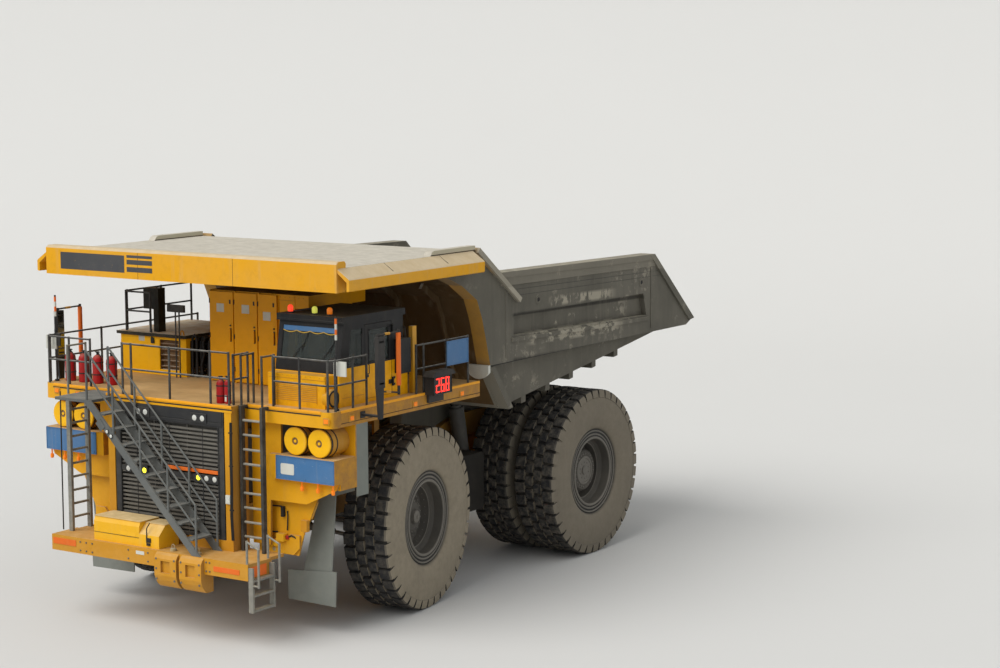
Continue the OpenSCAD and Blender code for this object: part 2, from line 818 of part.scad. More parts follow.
// A run of handrail: a top and a middle rail on posts that stand at height z0.
module rail_run(points, z0, high = rail_h) {
    for (p = points)
        rod_z(tube_r, p[0], p[1], z0, z0 + high);
    for (i = [0 : len(points) - 2], h = [high * 0.5, high - tube_r])
        bar([points[i][0], points[i][1], z0 + h], [points[i + 1][0], points[i + 1][1], z0 + h],
            tube_r * 0.8);
}

module handrails() {
    at_axle() color(steel) {
        rail_run([[-1130, -3380], [-910, -3380], [28, -3380], [1005, -3380], [1440, -3380]],
                 deck_z, 970);
        rail_run([[1440, -3260], [1440, -2860]], deck_z);
        rail_run([[2150, -3010], [2750, -3010], [rail_edge_x - 80, -3010], [rail_edge_x, -2900],
                  [rail_edge_x, -2400], [rail_edge_x, -2000]], deck_z);
        rail_run([[side_rail_x, -470], [side_rail_x, -240], [side_rail_x, 480],
                  [side_rail_x, 1200]], deck_z);
        rail_run([[-2300, -3010], [-2850, -3010], [-rail_edge_x + 80, -3010], [-rail_edge_x, -2900],
                  [-rail_edge_x, -1500], [-rail_edge_x, -100], [-rail_edge_x, 1330]], deck_z);
        // Round the roof of the grid box
        rail_run([[-2520, -1100], [-3160, -1100], [-3240, -990], [-3240, 0], [-3240, 900]],
                 grid_z1 + 60, 800);
        // Work lamp on a stand before the grid box
        for (x = [-1745, -1650])
            rod_z(15, x, -1235, deck_z, 5475);
        box([-1935, -1265, 5470], [-1514, -1205, 5610]);
        // Yellow post behind the cab door
        box([3215, -380, deck_z], [3300, -257, 5430]);
    }
}

// Mirrors stand out from the decks; the whip pole stands on the deck's corner
mirror_out = 400;
mirror_x = deck_half + mirror_out;
whip_x = deck_half - 95;

module mirrors() {
    at_axle() color(steel) both_sides() {
        box([mirror_x - 30, -2290, 4555], [mirror_x + 50, -2100, 5464]);
        // Foot that narrows downwards, on a bar from the deck's side
        side_plate([[-2230, 4000], [-2130, 4000], [-2100, 4556], [-2290, 4556]],
                   mirror_x - 25, mirror_x + 25);
        bar([deck_half, -2180, 4050], [mirror_x, -2180, 4050], 26);
        // Guard bar on two arms
        rod_z(26, mirror_x, -1630, 4370, 5540);
        bar([mirror_x, -1630, 4410], [mirror_x, -2200, 4500], 16);
        bar([mirror_x, -1630, 5505], [mirror_x, -2240, 5497], 16);
        box([mirror_x - 20, -2270, 5450], [mirror_x + 20, -2220, 5520]);
        // Whip pole on the deck's corner
        rod_z(18, whip_x, -2790, deck_z, 5850);
        box([whip_x - 135, -2820, 4880], [whip_x + 20, -2800, 5120]);
    }
}

module lamps() {
    at_axle() color("white") {
        for (x = [-711, -538, 657, 841])
            rod_y(66, x, grille_y - 34, grille_y, 3920);
        for (x = [-988, -589, 723, 915, 1108])
            rod_y(62, x, grille_y - 34, grille_y, (bar_z0 + bar_z1) / 2);
        for (x = [1977, 2532, 2873])
            rod_z(58, x, -2280, cab_top, cab_top + 150);
    }
}

module extinguishers() {
    at_axle() color("#c4262e") {
        for (x = [-3230 : 360 : -2150])
            rod_z(105, x, -2600, deck_z, deck_z + 550);
        rod_z(80, 1090, -3200, deck_z, deck_z + 430);
        rod_z(62, 1236, -3180, deck_z, deck_z + 440);
    }
}

display_w = 200;

module payload_display() {
    at_axle() color(steel) {
        box([deck_half, -290, 4155], [deck_half + display_w, 290, 4500]);
        side_plate([[-350, 4499], [380, 4499], [300, 4590], [-270, 4590]],
                   deck_half, deck_half + display_w + 40);
        // Bracket on the deck's side
        box([deck_half, -230, 4000], [deck_half + 60, 230, 4156]);
    }
}

module mud_flaps() {
    at_axle() color(grey) both_sides() {
        front_plate([[1906, 540], [2990, 520], [3018, 1170], [1906, 1083]], -2385, -2363);
        front_plate([[2605, 2440], [2980, 2776], [2980, 3300], [3440, 3300], [3440, 2700],
                     [3017, 2560], [2904, 1150], [2258, 1100]], clean_back + 37, -2343);
        side_plate([[-2363, 2600], [-2030, 2600], [-2030, deck_z - deck_edge],
                    [-2363, deck_z - deck_edge]], deck_half - 20, deck_half);
    }
}

// Tanks, axle and suspension

tank_x1 = 1900;

module fuel_tank() {
    at_axle() color(paint) {
        side_plate([[2460, 1180], [2520, 1120], [3920, 1120], [3980, 1180], [3980, 2240],
                    [3920, 2300], [2520, 2300], [2460, 2240]], 1100, tank_x1);
        for (y = [2600, 3640])
            box([rail_x1, y, 1700], [1101, y + 160, 2150]);
    }
}

module hydraulic_tank() {
    at_axle() color(paint) {
        box([-2300, 2460, 1200], [-1260, 3980, 2380]);
        for (y = [2600, 3640])
            box([-1260, y, 1700], [-rail_x1, y + 160, 2150]);
    }
}

rear_drum_r = 600;
rear_foot_z = axle_z + rear_drum_r + 30;

module rear_axle() {
    at_axle() color(paint) {
        rod_x(rear_drum_r, -1180, 1180, wheelbase, axle_z);
        both_sides() {
            rod_x(560, 1179, 1320, wheelbase, axle_z);
            rod_x(rear_spindle_r, 1319, rear_outer_x - 60, wheelbase, axle_z);
            box([950, 6250, axle_z + 100], [1180, 6450, rear_foot_z]);
        }
        side_plate([[4080, 1700], [5400, 1450], [5400, 2150], [4080, 2060]], -300, 300);
    }
}

module suspension() {
    at_axle() color(grey) both_sides() {
        rod_z(120, 1065, 6350, rear_foot_z, 2700);
        difference() {
            union() {
                rod_z(strut_r + 70, kingpin_x, 0, 2200, 3400);
                box([strut_pad_x, -200, 2240], [kingpin_x - strut_r, 200, 3280]);
            }
            rod_z(strut_r + fit, kingpin_x, 0, 2190, 3340);
        }
    }
}

// Front wheels and steering. What turns with a kingpin is drawn straight ahead and then turned.

arm_z0 = 1430;
arm_z1 = 1510;

module steered(side) {
    translate([side * kingpin_x, 0, 0]) rotate([0, 0, steer_rest]) children();
}

module knuckle_shape() {
    rod_z(strut_r, 0, 0, arm_z0, 3339);
    rod_x(spindle_r, 0, front_track_x - kingpin_x - 20, 0, axle_z);
    rod_x(300, 0, 500, 0, axle_z);
    box([-90, -cyl_arm, arm_z0], [90, tie_arm, arm_z1]);
    rod_z(90, 0, tie_arm, arm_z0, arm_z1);
    rod_z(90, 0, -cyl_arm, arm_z0, arm_z1);
    rod_z(steer_pin_r, 0, tie_arm, steer_z - 70, arm_z0 + 1);
    rod_z(60, 0, tie_arm, steer_z - 90, steer_z - 70);
}

module knuckle_left() {
    at_axle() color(grey) steered(1) knuckle_shape();
}

module knuckle_right() {
    at_axle() color(grey) mirror([1, 0, 0]) translate([kingpin_x, 0, 0]) rotate([0, 0, -steer_rest])
        knuckle_shape();
}

// Eyes of the steering arms at rest
tie_eye_l = [kingpin_x - tie_arm * sin(steer_rest), tie_arm * cos(steer_rest)];
tie_eye_r = [-kingpin_x - tie_arm * sin(steer_rest), tie_arm * cos(steer_rest)];
cyl_eye_l = [kingpin_x + cyl_arm * sin(steer_rest), -cyl_arm * cos(steer_rest)];
cyl_eye_r = [-kingpin_x + cyl_arm * sin(steer_rest), -cyl_arm * cos(steer_rest)];

module tie_rod() {
    at_axle() color(steel) difference() {
        union() {
            rod_x(50, tie_eye_r[0], tie_eye_l[0], tie_eye_l[1], steer_z);
            for (e = [tie_eye_l, tie_eye_r])
                rod_z(80, e[0], e[1], steer_z - 65, steer_z + 65);
        }
        for (e = [tie_eye_l, tie_eye_r])
            rod_z(steer_pin_r + fit, e[0], e[1], steer_z - 70, steer_z + 70);
    }
}

cyl_barrel = 760;
cyl_rod = 666;
cyl_bore_r = 40;

// Steering cylinder barrel along +X, with its eye at the origin.
module steer_barrel() {
    difference() {
        union() {
            rod_z(cyl_boss_r, 0, 0, -65, 65);
            rod_x(70, 0, cyl_barrel, 0, 0);
        }
        rod_z(steer_pin_r + fit, 0, 0, -70, 70);
        rod_x(cyl_bore_r + fit, 230, cyl_barrel + 10, 0, 0);
    }
}

// Steering cylinder rod along +X, with its eye at the origin of the far end.
module steer_rod() {
    rod_x(cyl_bore_r, -cyl_rod, 0, 0, 0);
    rod_z(cyl_boss_r, 0, 0, -65, 65);
    rod_z(steer_pin_r, 0, 0, 60, arm_z0 - steer_z - fit);
}

// Places a child at point p, turned to point from the frame pin towards the eye.
module along_cylinder(side, eye, p) {
    pin = [side * cyl_pin_x, -cyl_pin_y];
    translate([p[0], p[1], steer_z]) rotate([0, 0, atan2(eye[1] - pin[1], eye[0] - pin[0])])
        children();
}

module steer_barrel_left() {
    at_axle() color(steel) along_cylinder(1, cyl_eye_l, [cyl_pin_x, -cyl_pin_y]) steer_barrel();
}

module steer_barrel_right() {
    at_axle() color(steel) along_cylinder(-1, cyl_eye_r, [-cyl_pin_x, -cyl_pin_y]) steer_barrel();
}

module steer_rod_left() {
    at_axle() color(steel) along_cylinder(1, cyl_eye_l, cyl_eye_l) steer_rod();
}

module steer_rod_right() {
    at_axle() color(steel) along_cylinder(-1, cyl_eye_r, cyl_eye_r) steer_rod();
}

function ring_point(r, a) = [r * cos(a), r * sin(a)];

// Outline of the tread: each lug has three points on its top and the groove has two below.
function lug_outline() = let (pitch = 360 / lug_n, half = pitch * lug_fill / 200)
    [for (i = [0 : lug_n - 1], k = [0 : 4]) let (a = i * pitch)
        k == 0 ? ring_point(tyre_r - lug_h, a - half - 0.4)
        : k == 4 ? ring_point(tyre_r - lug_h, a + half + 0.4)
        : ring_point(tyre_r, a + (k - 2) * half)];

// A tyre with its axis along X, centred at the origin, and a lug straight down.
module tyre_shape() {
    w = tyre_w / 2;
    t = tread_w / 2;
    seat = rim_seat_d / 2 + fit;
    flange = rim_flange_d / 2;
    under = tyre_r - lug_h - 15;
    rotate([0, 90, 0]) {
        rotate_extrude($fn = 96) polygon([
            [seat, -rim_w / 2 + fit], [flange, -rim_w / 2 + fit], [flange + 10, -w + 70],
            [flange + 190, -w], [tyre_r - 330, -w], [under, -t + 5], [under, t - 5],
            [tyre_r - 330, w], [flange + 190, w], [flange + 10, w - 70],
            [flange, rim_w / 2 - fit], [seat, rim_w / 2 - fit]]);
        translate([0, 0, -t]) linear_extrude(tread_w) difference() {
            polygon(lug_outline());
            circle(r = under - 40, $fn = 96);
        }
    }
}

// Barrel and flanges of a rim, with a disc whose hub profile points are given as [r, x].
module rim_shape(hub) {
    seat = rim_seat_d / 2;
    flange = rim_flange_d / 2;
    rotate([0, 90, 0]) rotate_extrude($fn = 96) polygon(concat([
        [seat - 50, -rim_w / 2 - 30], [flange, -rim_w / 2 - 30], [flange, -rim_w / 2],
        [seat, -rim_w / 2], [seat, rim_w / 2], [flange, rim_w / 2], [flange, rim_w / 2 + 30],
        [seat - 50, rim_w / 2 + 30]], hub));
}

// Dish profiles: from the rim's barrel in to the middle and back out, as [r, x].
front_hub = [[674, 200], [640, 150], [600, 140], [560, -30], [400, -60], [400, -20], [330, -20],
             [330, 70], [250, 110], [150, 118], [130, 150], [0, 155], [0, -15],
             [spindle_r + fit, -15], [spindle_r + fit, -260], [330, -260], [330, -140],
             [600, -110], [674, 60]];
rear_hub = [[674, 200], [640, 150], [600, 140], [575, -60], [520, -90], [430, -90], [430, 150],
            [400, 175], [0, 175], [0, -55], [rear_spindle_r + fit, -55],
            [rear_spindle_r + fit, -200], [560, -200], [600, -60], [674, 60]];
inner_hub = [[674, -40], [rear_spindle_r + fit, -40], [rear_spindle_r + fit, -120], [674, -120]];

module front_wheel_place() {
    translate([kingpin_x, 0, 0]) rotate([0, 0, steer_rest])
        translate([front_track_x - kingpin_x, 0, axle_z]) children();
}

// The right front wheel, mirrored but steered the same way.
module front_wheel_place_right() {
    mirror([1, 0, 0]) translate([kingpin_x, 0, 0]) rotate([0, 0, -steer_rest])
        translate([front_track_x - kingpin_x, 0, axle_z]) children();
}

module tyre_front_left() {
    at_axle() color(rubber) front_wheel_place() tyre_shape();
}

module tyre_front_right() {
    at_axle() color(rubber) front_wheel_place_right() tyre_shape();
}

module rim_front_left() {
    at_axle() color(rim_paint) front_wheel_place() rim_shape(front_hub);
}

module rim_front_right() {
    at_axle() color(rim_paint) front_wheel_place_right() rim_shape(front_hub);
}

module twin_places() {
    for (x = [rear_outer_x, rear_outer_x - twin_pitch])
        translate([x, wheelbase, axle_z]) children();
}

module tyres_rear_left() {
    at_axle() color(rubber) twin_places() tyre_shape();
}

module tyres_rear_right() {
    at_axle() color(rubber) mirror([1, 0, 0]) twin_places() tyre_shape();
}

module rims_rear() {
    translate([rear_outer_x, wheelbase, axle_z]) rim_shape(rear_hub);
    translate([rear_outer_x - twin_pitch, wheelbase, axle_z]) rim_shape(inner_hub);
}

module rims_rear_left() {
    at_axle() color(rim_paint) rims_rear();
}

module rims_rear_right() {
    at_axle() color(rim_paint) mirror([1, 0, 0]) rims_rear();
}

// Bed

step_z = 4430;
low_front = [2576, 3490];
low_rear = [8100, 4280];
tail_tip = [rear_reach, 4560];
top_rear = [8230, 6115];
pad_t = 60;

module bed_floor() {
    at_axle() color(bed_paint) {
        side_plate([low_front, low_rear, tail_tip, tail_tip + [-40, bed_plate],
                    low_rear + [0, bed_plate], low_front + [0, bed_plate]], -bed_in, bed_in);
        both_sides() {
            bed_sill();
            hoist_ears();
        }
        floor_beams();
    }
}

function floor_low(y) = low_front[1] + (low_rear[1] - low_front[1]) * (y - low_front[0])
    / (low_rear[0] - low_front[0]);

// Long beam under the floor that lies on a frame rail and turns on the pivot pin.
module bed_sill() {
    difference() {
        union() {
            side_plate([[2640, rail_top(2640) + pad_t], [kick_y1, rail_top_rear + pad_t],
                        [pivot_y, rail_top_rear + pad_t], [pivot_y + 280, pivot_z],
                        [pivot_y + 280, floor_low(pivot_y + 280) + 1], [2640, floor_low(2640) + 1]],
                       sill_x0, sill_x1);
            rod_x(280, sill_x0, sill_x1, pivot_y, pivot_z);
        }
        rod_x(pivot_r + fit, sill_x0 - 1, sill_x1 + 1, pivot_y, pivot_z);
    }
    side_plate([[5100, rail_top_rear + fit], [6500, rail_top_rear + fit],
                [6500, rail_top_rear + pad_t + 1], [5100, rail_top_rear + pad_t + 1]],
               sill_x0, sill_x1);
    side_plate([[2800, rail_top(2800) + fit], [3600, rail_top(3600) + fit],
                [3600, rail_top(3600) + pad_t + 1], [2800, rail_top(2800) + pad_t + 1]],
               sill_x0, sill_x1);
}

// Ears on each side of a hoist rod's eye.
module hoist_ears() {
    for (x = [hoist_x - ear_in - 55, hoist_x + ear_in])
        side_plate([[hoist_b[0] - 100, hoist_b[1] - 60], [hoist_b[0] + 100, hoist_b[1] - 60],
                    [hoist_b[0] + 260, floor_low(hoist_b[0] + 260) + 1],
                    [hoist_b[0] - 260, floor_low(hoist_b[0] - 260) + 1]], x, x + 55);
    rod_x(top_pin_r, hoist_x - ear_in - 75, hoist_x + ear_in + 75, hoist_b[0], hoist_b[1]);
}

module floor_beams() {
    for (y = [3500 : 900 : 7400])
        both_sides() side_plate([[y, floor_low(y) - 160], [y + 160, floor_low(y + 160) - 160],
                                 [y + 160, floor_low(y + 160) + 1], [y, floor_low(y) + 1]],
                                sill_x1 - 1, bed_in);
}

side_front = [[1949, step_z], [1782, 5025], [1670, 5384], [1504, 5746], [1007, 6058], [520, 6252]];
gusset_top = [[400, 6640], [1420, 6640], [2290, 6110]];

module bed_side() {
    side_plate(concat([low_front, low_rear, tail_tip, top_rear, [2300, bed_top_z]],
                      [for (i = [2, 1, 0]) gusset_top[i]], [for (i = [5 : -1 : 0]) side_front[i]]),
               bed_in, bed_in + bed_plate);
    difference() {
        side_plate(concat([[9700, step_z], tail_tip, top_rear, [2300, bed_top_z]],
                          [for (i = [2, 1, 0]) gusset_top[i]],
                          [for (i = [5 : -1 : 0]) side_front[i]]), bed_in + bed_plate - 1, bed_half);
        // Recess with a sloping lower edge
        side_plate(panel, bed_half - panel_d, bed_half + 10);
    }
    // Top rail in two steps
    side_plate([[2300, bed_top_z - 270], [8290, 5850], top_rear, [2300, bed_top_z]],
               bed_half - 1, bed_half + 22);
    side_plate([[2300, bed_top_z - 110], [8260, 5990], top_rear, [2300, bed_top_z]],
               bed_half + 21, bed_half + 45);
    // Ledge under the recess
    side_plate([[2700, 4890], [8010, 4775], [8010, 4700], [2700, 4810]], bed_half - 1, bed_half + 35);
    // End flange, and the wing flange along the gusset
    side_plate([top_rear, tail_tip, tail_tip + [-200, -30], top_rear + [-170, -30]],
               bed_half - 1, bed_half + 50);
    side_plate([[1420, 6660], [1480, 6750], [2930, 5660], [2870, 5580]], bed_in, bed_half + 100);
    // Upright ribs of the side box
    for (y = [2480, 8120])
        side_plate([[y, 4520], [y + 70, 4520], [y + 70, 5840], [y, 5840]], bed_half - 1, bed_half + 12);
    // Gusset plate at the foot of the front return
    side_plate([low_front + [20, 0], [1960, step_z - 40], [2120, step_z - 40],
                low_front + [170, 20]], bed_in + bed_plate - 1, bed_half);
}

panel_d = 120;
panel = [[2769, 5333], [7817, 5297], [7940, 4817], [2767, 4931]];

module bed_side_left() {
    at_axle() color(bed_paint) bed_side();
}

module bed_side_right() {
    at_axle() color(bed_paint) mirror([1, 0, 0]) bed_side();
}

canopy_front = -2885;
canopy_back = 1400;
canopy_side = 3495;

module bed_canopy() {
    at_axle() color(bed_paint) {
        side_plate([[canopy_front, 6274], [canopy_front, canopy_z - 45],
                    [canopy_front + 45, canopy_z], [-2640, canopy_z], [-2600, canopy_z - 40],
                    [-2600, 6300], [-2640, 6274]], -canopy_side, canopy_side);
        box([-canopy_side, -2601, 6640], [canopy_side, canopy_back, 6700]);
        both_sides() {
            front_plate([[canopy_side - 1, 6700], [canopy_half - 20, 6530], [canopy_half, 6510],
                         [canopy_half, 6330], [canopy_half - 20, 6310], [canopy_half - 60, 6310],
                         [canopy_half - 60, 6470], [canopy_side - 1, 6640]],
                        canopy_front + 20, 1310);
            side_plate([[canopy_front, 6274], [canopy_front + 60, 6274], [canopy_front + 60, canopy_z],
                        [canopy_front, canopy_z - 45]], canopy_side - 1, canopy_side + 14);
            // Raised lip at the rear corner
            side_plate([[-60, 6700], [0, 6770], [60, 6795], [canopy_back, 6795],
                        [canopy_back, 6699], [-60, 6699]],
                       canopy_side - 165, canopy_side - 5);
            box([bed_in - 150, -2601, 6500], [bed_in, 500, 6641]);
            box([1500, -2601, 6540], [1620, 560, 6641]);
            for (y = [-1900, -900, 100])
                front_plate([[bed_in - 1, 6641], [bed_in - 1, 6500], [canopy_side - 10, 6600],
                             [canopy_side - 10, 6641]], y, y + 40);
            for (x = [500, 1500, 2500])
                wall_rib(x);
        }
        box([-60, -2601, 6540], [60, 560, 6641]);
        side_plate([low_front + [0, bed_plate], [1949, step_z], [1782, 5025], [1670, 5384],
                    [1504, 5746], [1007, 6058], [520, 6252], [300, 6640], [500, 6640],
                    [1100, 6200], [1620, 5850], [1790, 5430], [1880, 5040], [2040, step_z],
                    [low_front[0] + 85, floor_low(low_front[0] + 85) + bed_plate]],
                   -bed_in, bed_in);
    }
}

// Upright stiffener on the outside of the front wall.
module wall_rib(x) {
    side_plate([[2480, 3760], [1960, step_z], [1790, 5025], [1680, 5384], [1510, 5746],
                [1010, 6060], [930, 5960], [1420, 5650], [1570, 5330], [1690, 4990],
                [1850, 4380], [2370, 3700]], x, x + 60);
}

// Hoist cylinders, drawn upright from their foot pin and then leaned to the bed's ears

hoist_len = norm(hoist_b - hoist_a);
hoist_lean = atan2(hoist_b[1] - hoist_a[1], hoist_b[0] - hoist_a[0]) - 90;
barrel_len = 1420;
eye_r = 100;
eye_bore = top_pin_r + eye_slack;
stage_len = 1330;
stage_top = 1480;

module hoist_place() {
    both_sides() translate([hoist_x, hoist_a[0], hoist_a[1]]) rotate([hoist_lean, 0, 0]) children();
}

module hoist_barrels() {
    at_axle() color(steel) hoist_place() difference() {
        union() {
            translate([0, 0, 60]) cylinder(r = hoist_r, h = barrel_len - 60);
            rod_x(115, -120, 120, 0, 0);
            rod_x(foot_pin_r, rail_x1 - foot_w - hoist_x - 12, 0, 0, 0);
            rod_x(85, rail_x1 + 6 - hoist_x, 0, 0, 0);
        }
        translate([0, 0, 130]) cylinder(r = hoist_stage_r + fit, h = barrel_len);
    }
}

module hoist_stages() {
    at_axle() color(steel) hoist_place() difference() {
        translate([0, 0, stage_top - stage_len]) cylinder(r = hoist_stage_r, h = stage_len);
        translate([0, 0, stage_top - stage_len + 40]) cylinder(r = hoist_rod_r + fit, h = stage_len);
    }
}

module hoist_rods() {
    at_axle() color(steel) hoist_place() {
        difference() {
            union() {
                translate([0, 0, stage_top - stage_len + 60])
                    cylinder(r = hoist_rod_r, h = hoist_len - stage_top + stage_len - 60);
                rod_x(eye_r, -hoist_rod_r, hoist_rod_r, 0, hoist_len);
                rod_x(eye_r, -hoist_rod_r, hoist_rod_r, 0, hoist_len + eye_slip);
                box([-hoist_rod_r, -eye_r, hoist_len], [hoist_rod_r, eye_r, hoist_len + eye_slip]);
            }
            // Long bore: the pin turns and slips in it
            rod_x(eye_bore, -eye_r, eye_r, 0, hoist_len);
            rod_x(eye_bore, -eye_r, eye_r, 0, hoist_len + eye_slip);
            box([-eye_r, -eye_bore, hoist_len], [eye_r, eye_bore, hoist_len + eye_slip]);
        }
    }
}

frame();
engine();
grille();
bumper();
battery_box();
deck_center();
deck_left();
deck_right();
air_cleaners();
number_boards();
cab_shell();
cab_glass();
cab_interior();
control_cabinet();
retard_grid_box();
front_stairs();
ladders();
handrails();
mirrors();
lamps();
extinguishers();
payload_display();
mud_flaps();
fuel_tank();
hydraulic_tank();
rear_axle();
suspension();
cab_door_left();
cab_door_right();
door_glass_left();
door_glass_right();
cabinet_door_1();
cabinet_door_2();
cabinet_door_3();
knuckle_left();
knuckle_right();
tie_rod();
steer_barrel_left();
steer_barrel_right();
steer_rod_left();
steer_rod_right();
tyre_front_left();
tyre_front_right();
tyres_rear_left();
tyres_rear_right();
rim_front_left();
rim_front_right();
rims_rear_left();
rims_rear_right();
bed_floor();
bed_side_left();
bed_side_right();
bed_canopy();
hoist_barrels();
hoist_stages();
hoist_rods();
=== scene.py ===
"""Looks of the mining dump truck: materials, fine pieces, floor, light and camera."""
import json
from math import cos, pi, radians, sin

import bmesh
import bpy
from mathutils import Matrix, Vector


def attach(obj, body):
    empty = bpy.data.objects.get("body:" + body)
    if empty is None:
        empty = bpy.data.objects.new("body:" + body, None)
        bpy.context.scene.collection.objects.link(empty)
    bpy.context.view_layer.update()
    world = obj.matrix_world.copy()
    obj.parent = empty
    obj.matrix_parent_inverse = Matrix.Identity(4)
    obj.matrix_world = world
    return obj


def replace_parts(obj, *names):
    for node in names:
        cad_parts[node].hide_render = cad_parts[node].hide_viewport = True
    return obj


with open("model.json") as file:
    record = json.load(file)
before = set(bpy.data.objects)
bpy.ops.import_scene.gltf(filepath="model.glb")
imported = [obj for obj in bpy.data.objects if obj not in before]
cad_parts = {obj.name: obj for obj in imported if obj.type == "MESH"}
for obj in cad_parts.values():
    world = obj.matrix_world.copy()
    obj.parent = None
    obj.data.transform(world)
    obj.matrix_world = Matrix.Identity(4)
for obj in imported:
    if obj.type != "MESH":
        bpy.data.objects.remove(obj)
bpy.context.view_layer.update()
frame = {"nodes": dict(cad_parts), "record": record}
NODES = frame["nodes"]
scene = bpy.context.scene
scene.view_settings.view_transform = "Standard"

# In the shared frame the front axle stands at y = AXLE, in metres
AXLE = -2.92
FORE = (0, -1, 0)
UP = (0, 0, 1)
LEFT = (1, 0, 0)
# A side is 1 on the truck's left and -1 on its right
SIDES = (("left", 1), ("right", -1))


# Colours and node trees

def srgb(r, g, b):
    """Linear colour of a screen colour in steps of 255."""
    def linear(c):
        c = c / 255
        return c / 12.92 if c <= 0.04045 else ((c + 0.055) / 1.055) ** 2.4
    return (linear(r), linear(g), linear(b), 1.0)


def shade(c, k):
    return (min(1, c[0] * k), min(1, c[1] * k), min(1, c[2] * k), 1.0)


class Tree:
    """A material with one Principled shader and short helpers for its nodes."""

    def __init__(self, name):
        self.mat = bpy.data.materials.new(name)
        self.mat.use_nodes = True
        self.nt = self.mat.node_tree
        self.nt.nodes.clear()
        self.bsdf = self.add("ShaderNodeBsdfPrincipled", {"Specular IOR Level": 0.22})
        self.add("ShaderNodeOutputMaterial", {0: self.bsdf.outputs[0]})
        self.coord = self.add("ShaderNodeTexCoord").outputs["Object"]
        self.xyz = self.add("ShaderNodeSeparateXYZ", {0: self.coord})
        facing = self.add("ShaderNodeNewGeometry").outputs["Normal"]
        self.normal = self.add("ShaderNodeSeparateXYZ", {0: facing})

    def add(self, kind, inputs=None, **settings):
        """New node with its settings, and with inputs filled by number or by name."""
        node = self.nt.nodes.new(kind)
        for key, value in settings.items():
            setattr(node, key, value)
        for key, value in (inputs or {}).items():
            self.put(node.inputs[key], value)
        return node

    def put(self, socket, value):
        if isinstance(value, bpy.types.NodeSocket):
            self.nt.links.new(value, socket)
        else:
            socket.default_value = value

    def axis(self, i):
        """Place along an axis; along the truck it counts from the front axle."""
        place = self.xyz.outputs[i]
        return self.op("SUBTRACT", place, AXLE) if i == 1 else place

    def face(self, i):
        return self.normal.outputs[i]

    def noise(self, scale, detail, rough, stretch=(1, 1, 1), shift=(0, 0, 0)):
        m = self.add("ShaderNodeMapping", {"Vector": self.coord, "Scale": stretch, "Location": shift})
        inputs = {"Vector": m.outputs[0], "Scale": scale, "Detail": detail, "Roughness": rough}
        return self.add("ShaderNodeTexNoise", inputs).outputs[0]

    def span(self, value, lo, hi, a=0, b=1):
        """Goes from a to b while a value climbs from lo to hi."""
        m = self.add("ShaderNodeMapRange", {0: value, 1: lo, 2: hi, 3: a, 4: b}, clamp=True)
        return m.outputs[0]

    def op(self, kind, a, b=0):
        return self.add("ShaderNodeMath", {0: a, 1: b}, operation=kind).outputs[0]

    def over(self, value, limit):
        return self.op("GREATER_THAN", value, limit)

    def under(self, value, limit):
        return self.op("LESS_THAN", value, limit)

    def within(self, value, lo, hi):
        return self.mul(self.over(value, lo), self.under(value, hi))

    def strip(self, value, a, b, c, d):
        """Mask that climbs from a to b and falls from c to d."""
        return self.mul(self.span(value, a, b), self.span(value, c, d, 1, 0))

    def size(self, value):
        return self.op("ABSOLUTE", value)

    def mul(self, value, *more):
        for factor in more:
            value = self.op("MULTIPLY", value, factor)
        return value

    def most(self, value, *more):
        for other in more:
            value = self.op("MAXIMUM", value, other)
        return value

    def mix(self, fac, a, b):
        return self.add("ShaderNodeMix", {0: fac, 6: a, 7: b}, data_type="RGBA").outputs[2]

    def tone(self, value, a, b, lo=0.35, hi=0.65):
        """Goes from one screen colour to another while a value climbs from lo to hi."""
        return self.mix(self.span(value, lo, hi), srgb(*a), srgb(*b))

    def blend(self, fac, a, b):
        return self.add("ShaderNodeMix", {0: fac, 2: a, 3: b}).outputs[0]

    def bump(self, height, strength, distance):
        b = self.add("ShaderNodeBump", {"Strength": strength, "Distance": distance, "Height": height})
        self.set("Normal", b.outputs[0])

    def set(self, name, value):
        self.put(self.bsdf.inputs[name], value)

    def finish(self, color, rough, metallic=0):
        self.set("Base Color", color)
        self.set("Roughness", rough)
        self.set("Metallic", metallic)
        return self.mat

    def dusted(self, col, dust, *amounts):
        """Finishes a colour under the dust layers."""
        return self.finish(*dust_layers(self, col, srgb(*dust), *amounts))


def dust_layers(t, col, dust, rough, top, side, streaks, low, cells=1.0):
    """Adds settled dust on what faces up, thin film and runs on the sides, and dirt low down."""
    big = t.noise(0.8 * cells, 5, 0.6, shift=(3, 1, 7))
    mid = t.noise(4.5 * cells, 6, 0.65)
    run = t.noise(7 * cells, 4, 0.6, stretch=(1, 1, 0.07), shift=(1, 5, 2))
    settle = t.mul(t.span(t.face(2), 0.3, 0.85), t.span(mid, 0.25, 0.62, 0.55, 1.0))
    film = t.mul(t.span(big, 0.35, 0.7), side)
    runs = t.mul(t.span(run, 0.5, 0.72), streaks)
    mask = t.most(t.mul(settle, top), film, runs)
    if low:
        sink = t.mul(t.span(t.axis(2), 0.8, 3.4, 1.0, 0.0), low)
        mask = t.most(mask, t.mul(sink, t.span(mid, 0.3, 0.6, 0.5, 1.0)))
    dusty = t.mix(t.span(mid, 0.35, 0.65), shade(dust, 0.84), shade(dust, 1.1))
    return t.mix(mask, col, dusty), t.blend(mask, rough, 0.93)


def material(key, name):
    """Runs a function on a new tree and keeps the material that it makes."""
    def keep(build):
        M[key] = build(Tree(name))
        return build
    return keep


YELLOW = srgb(224, 160, 4)
SAND = (196, 158, 104)
M = {}


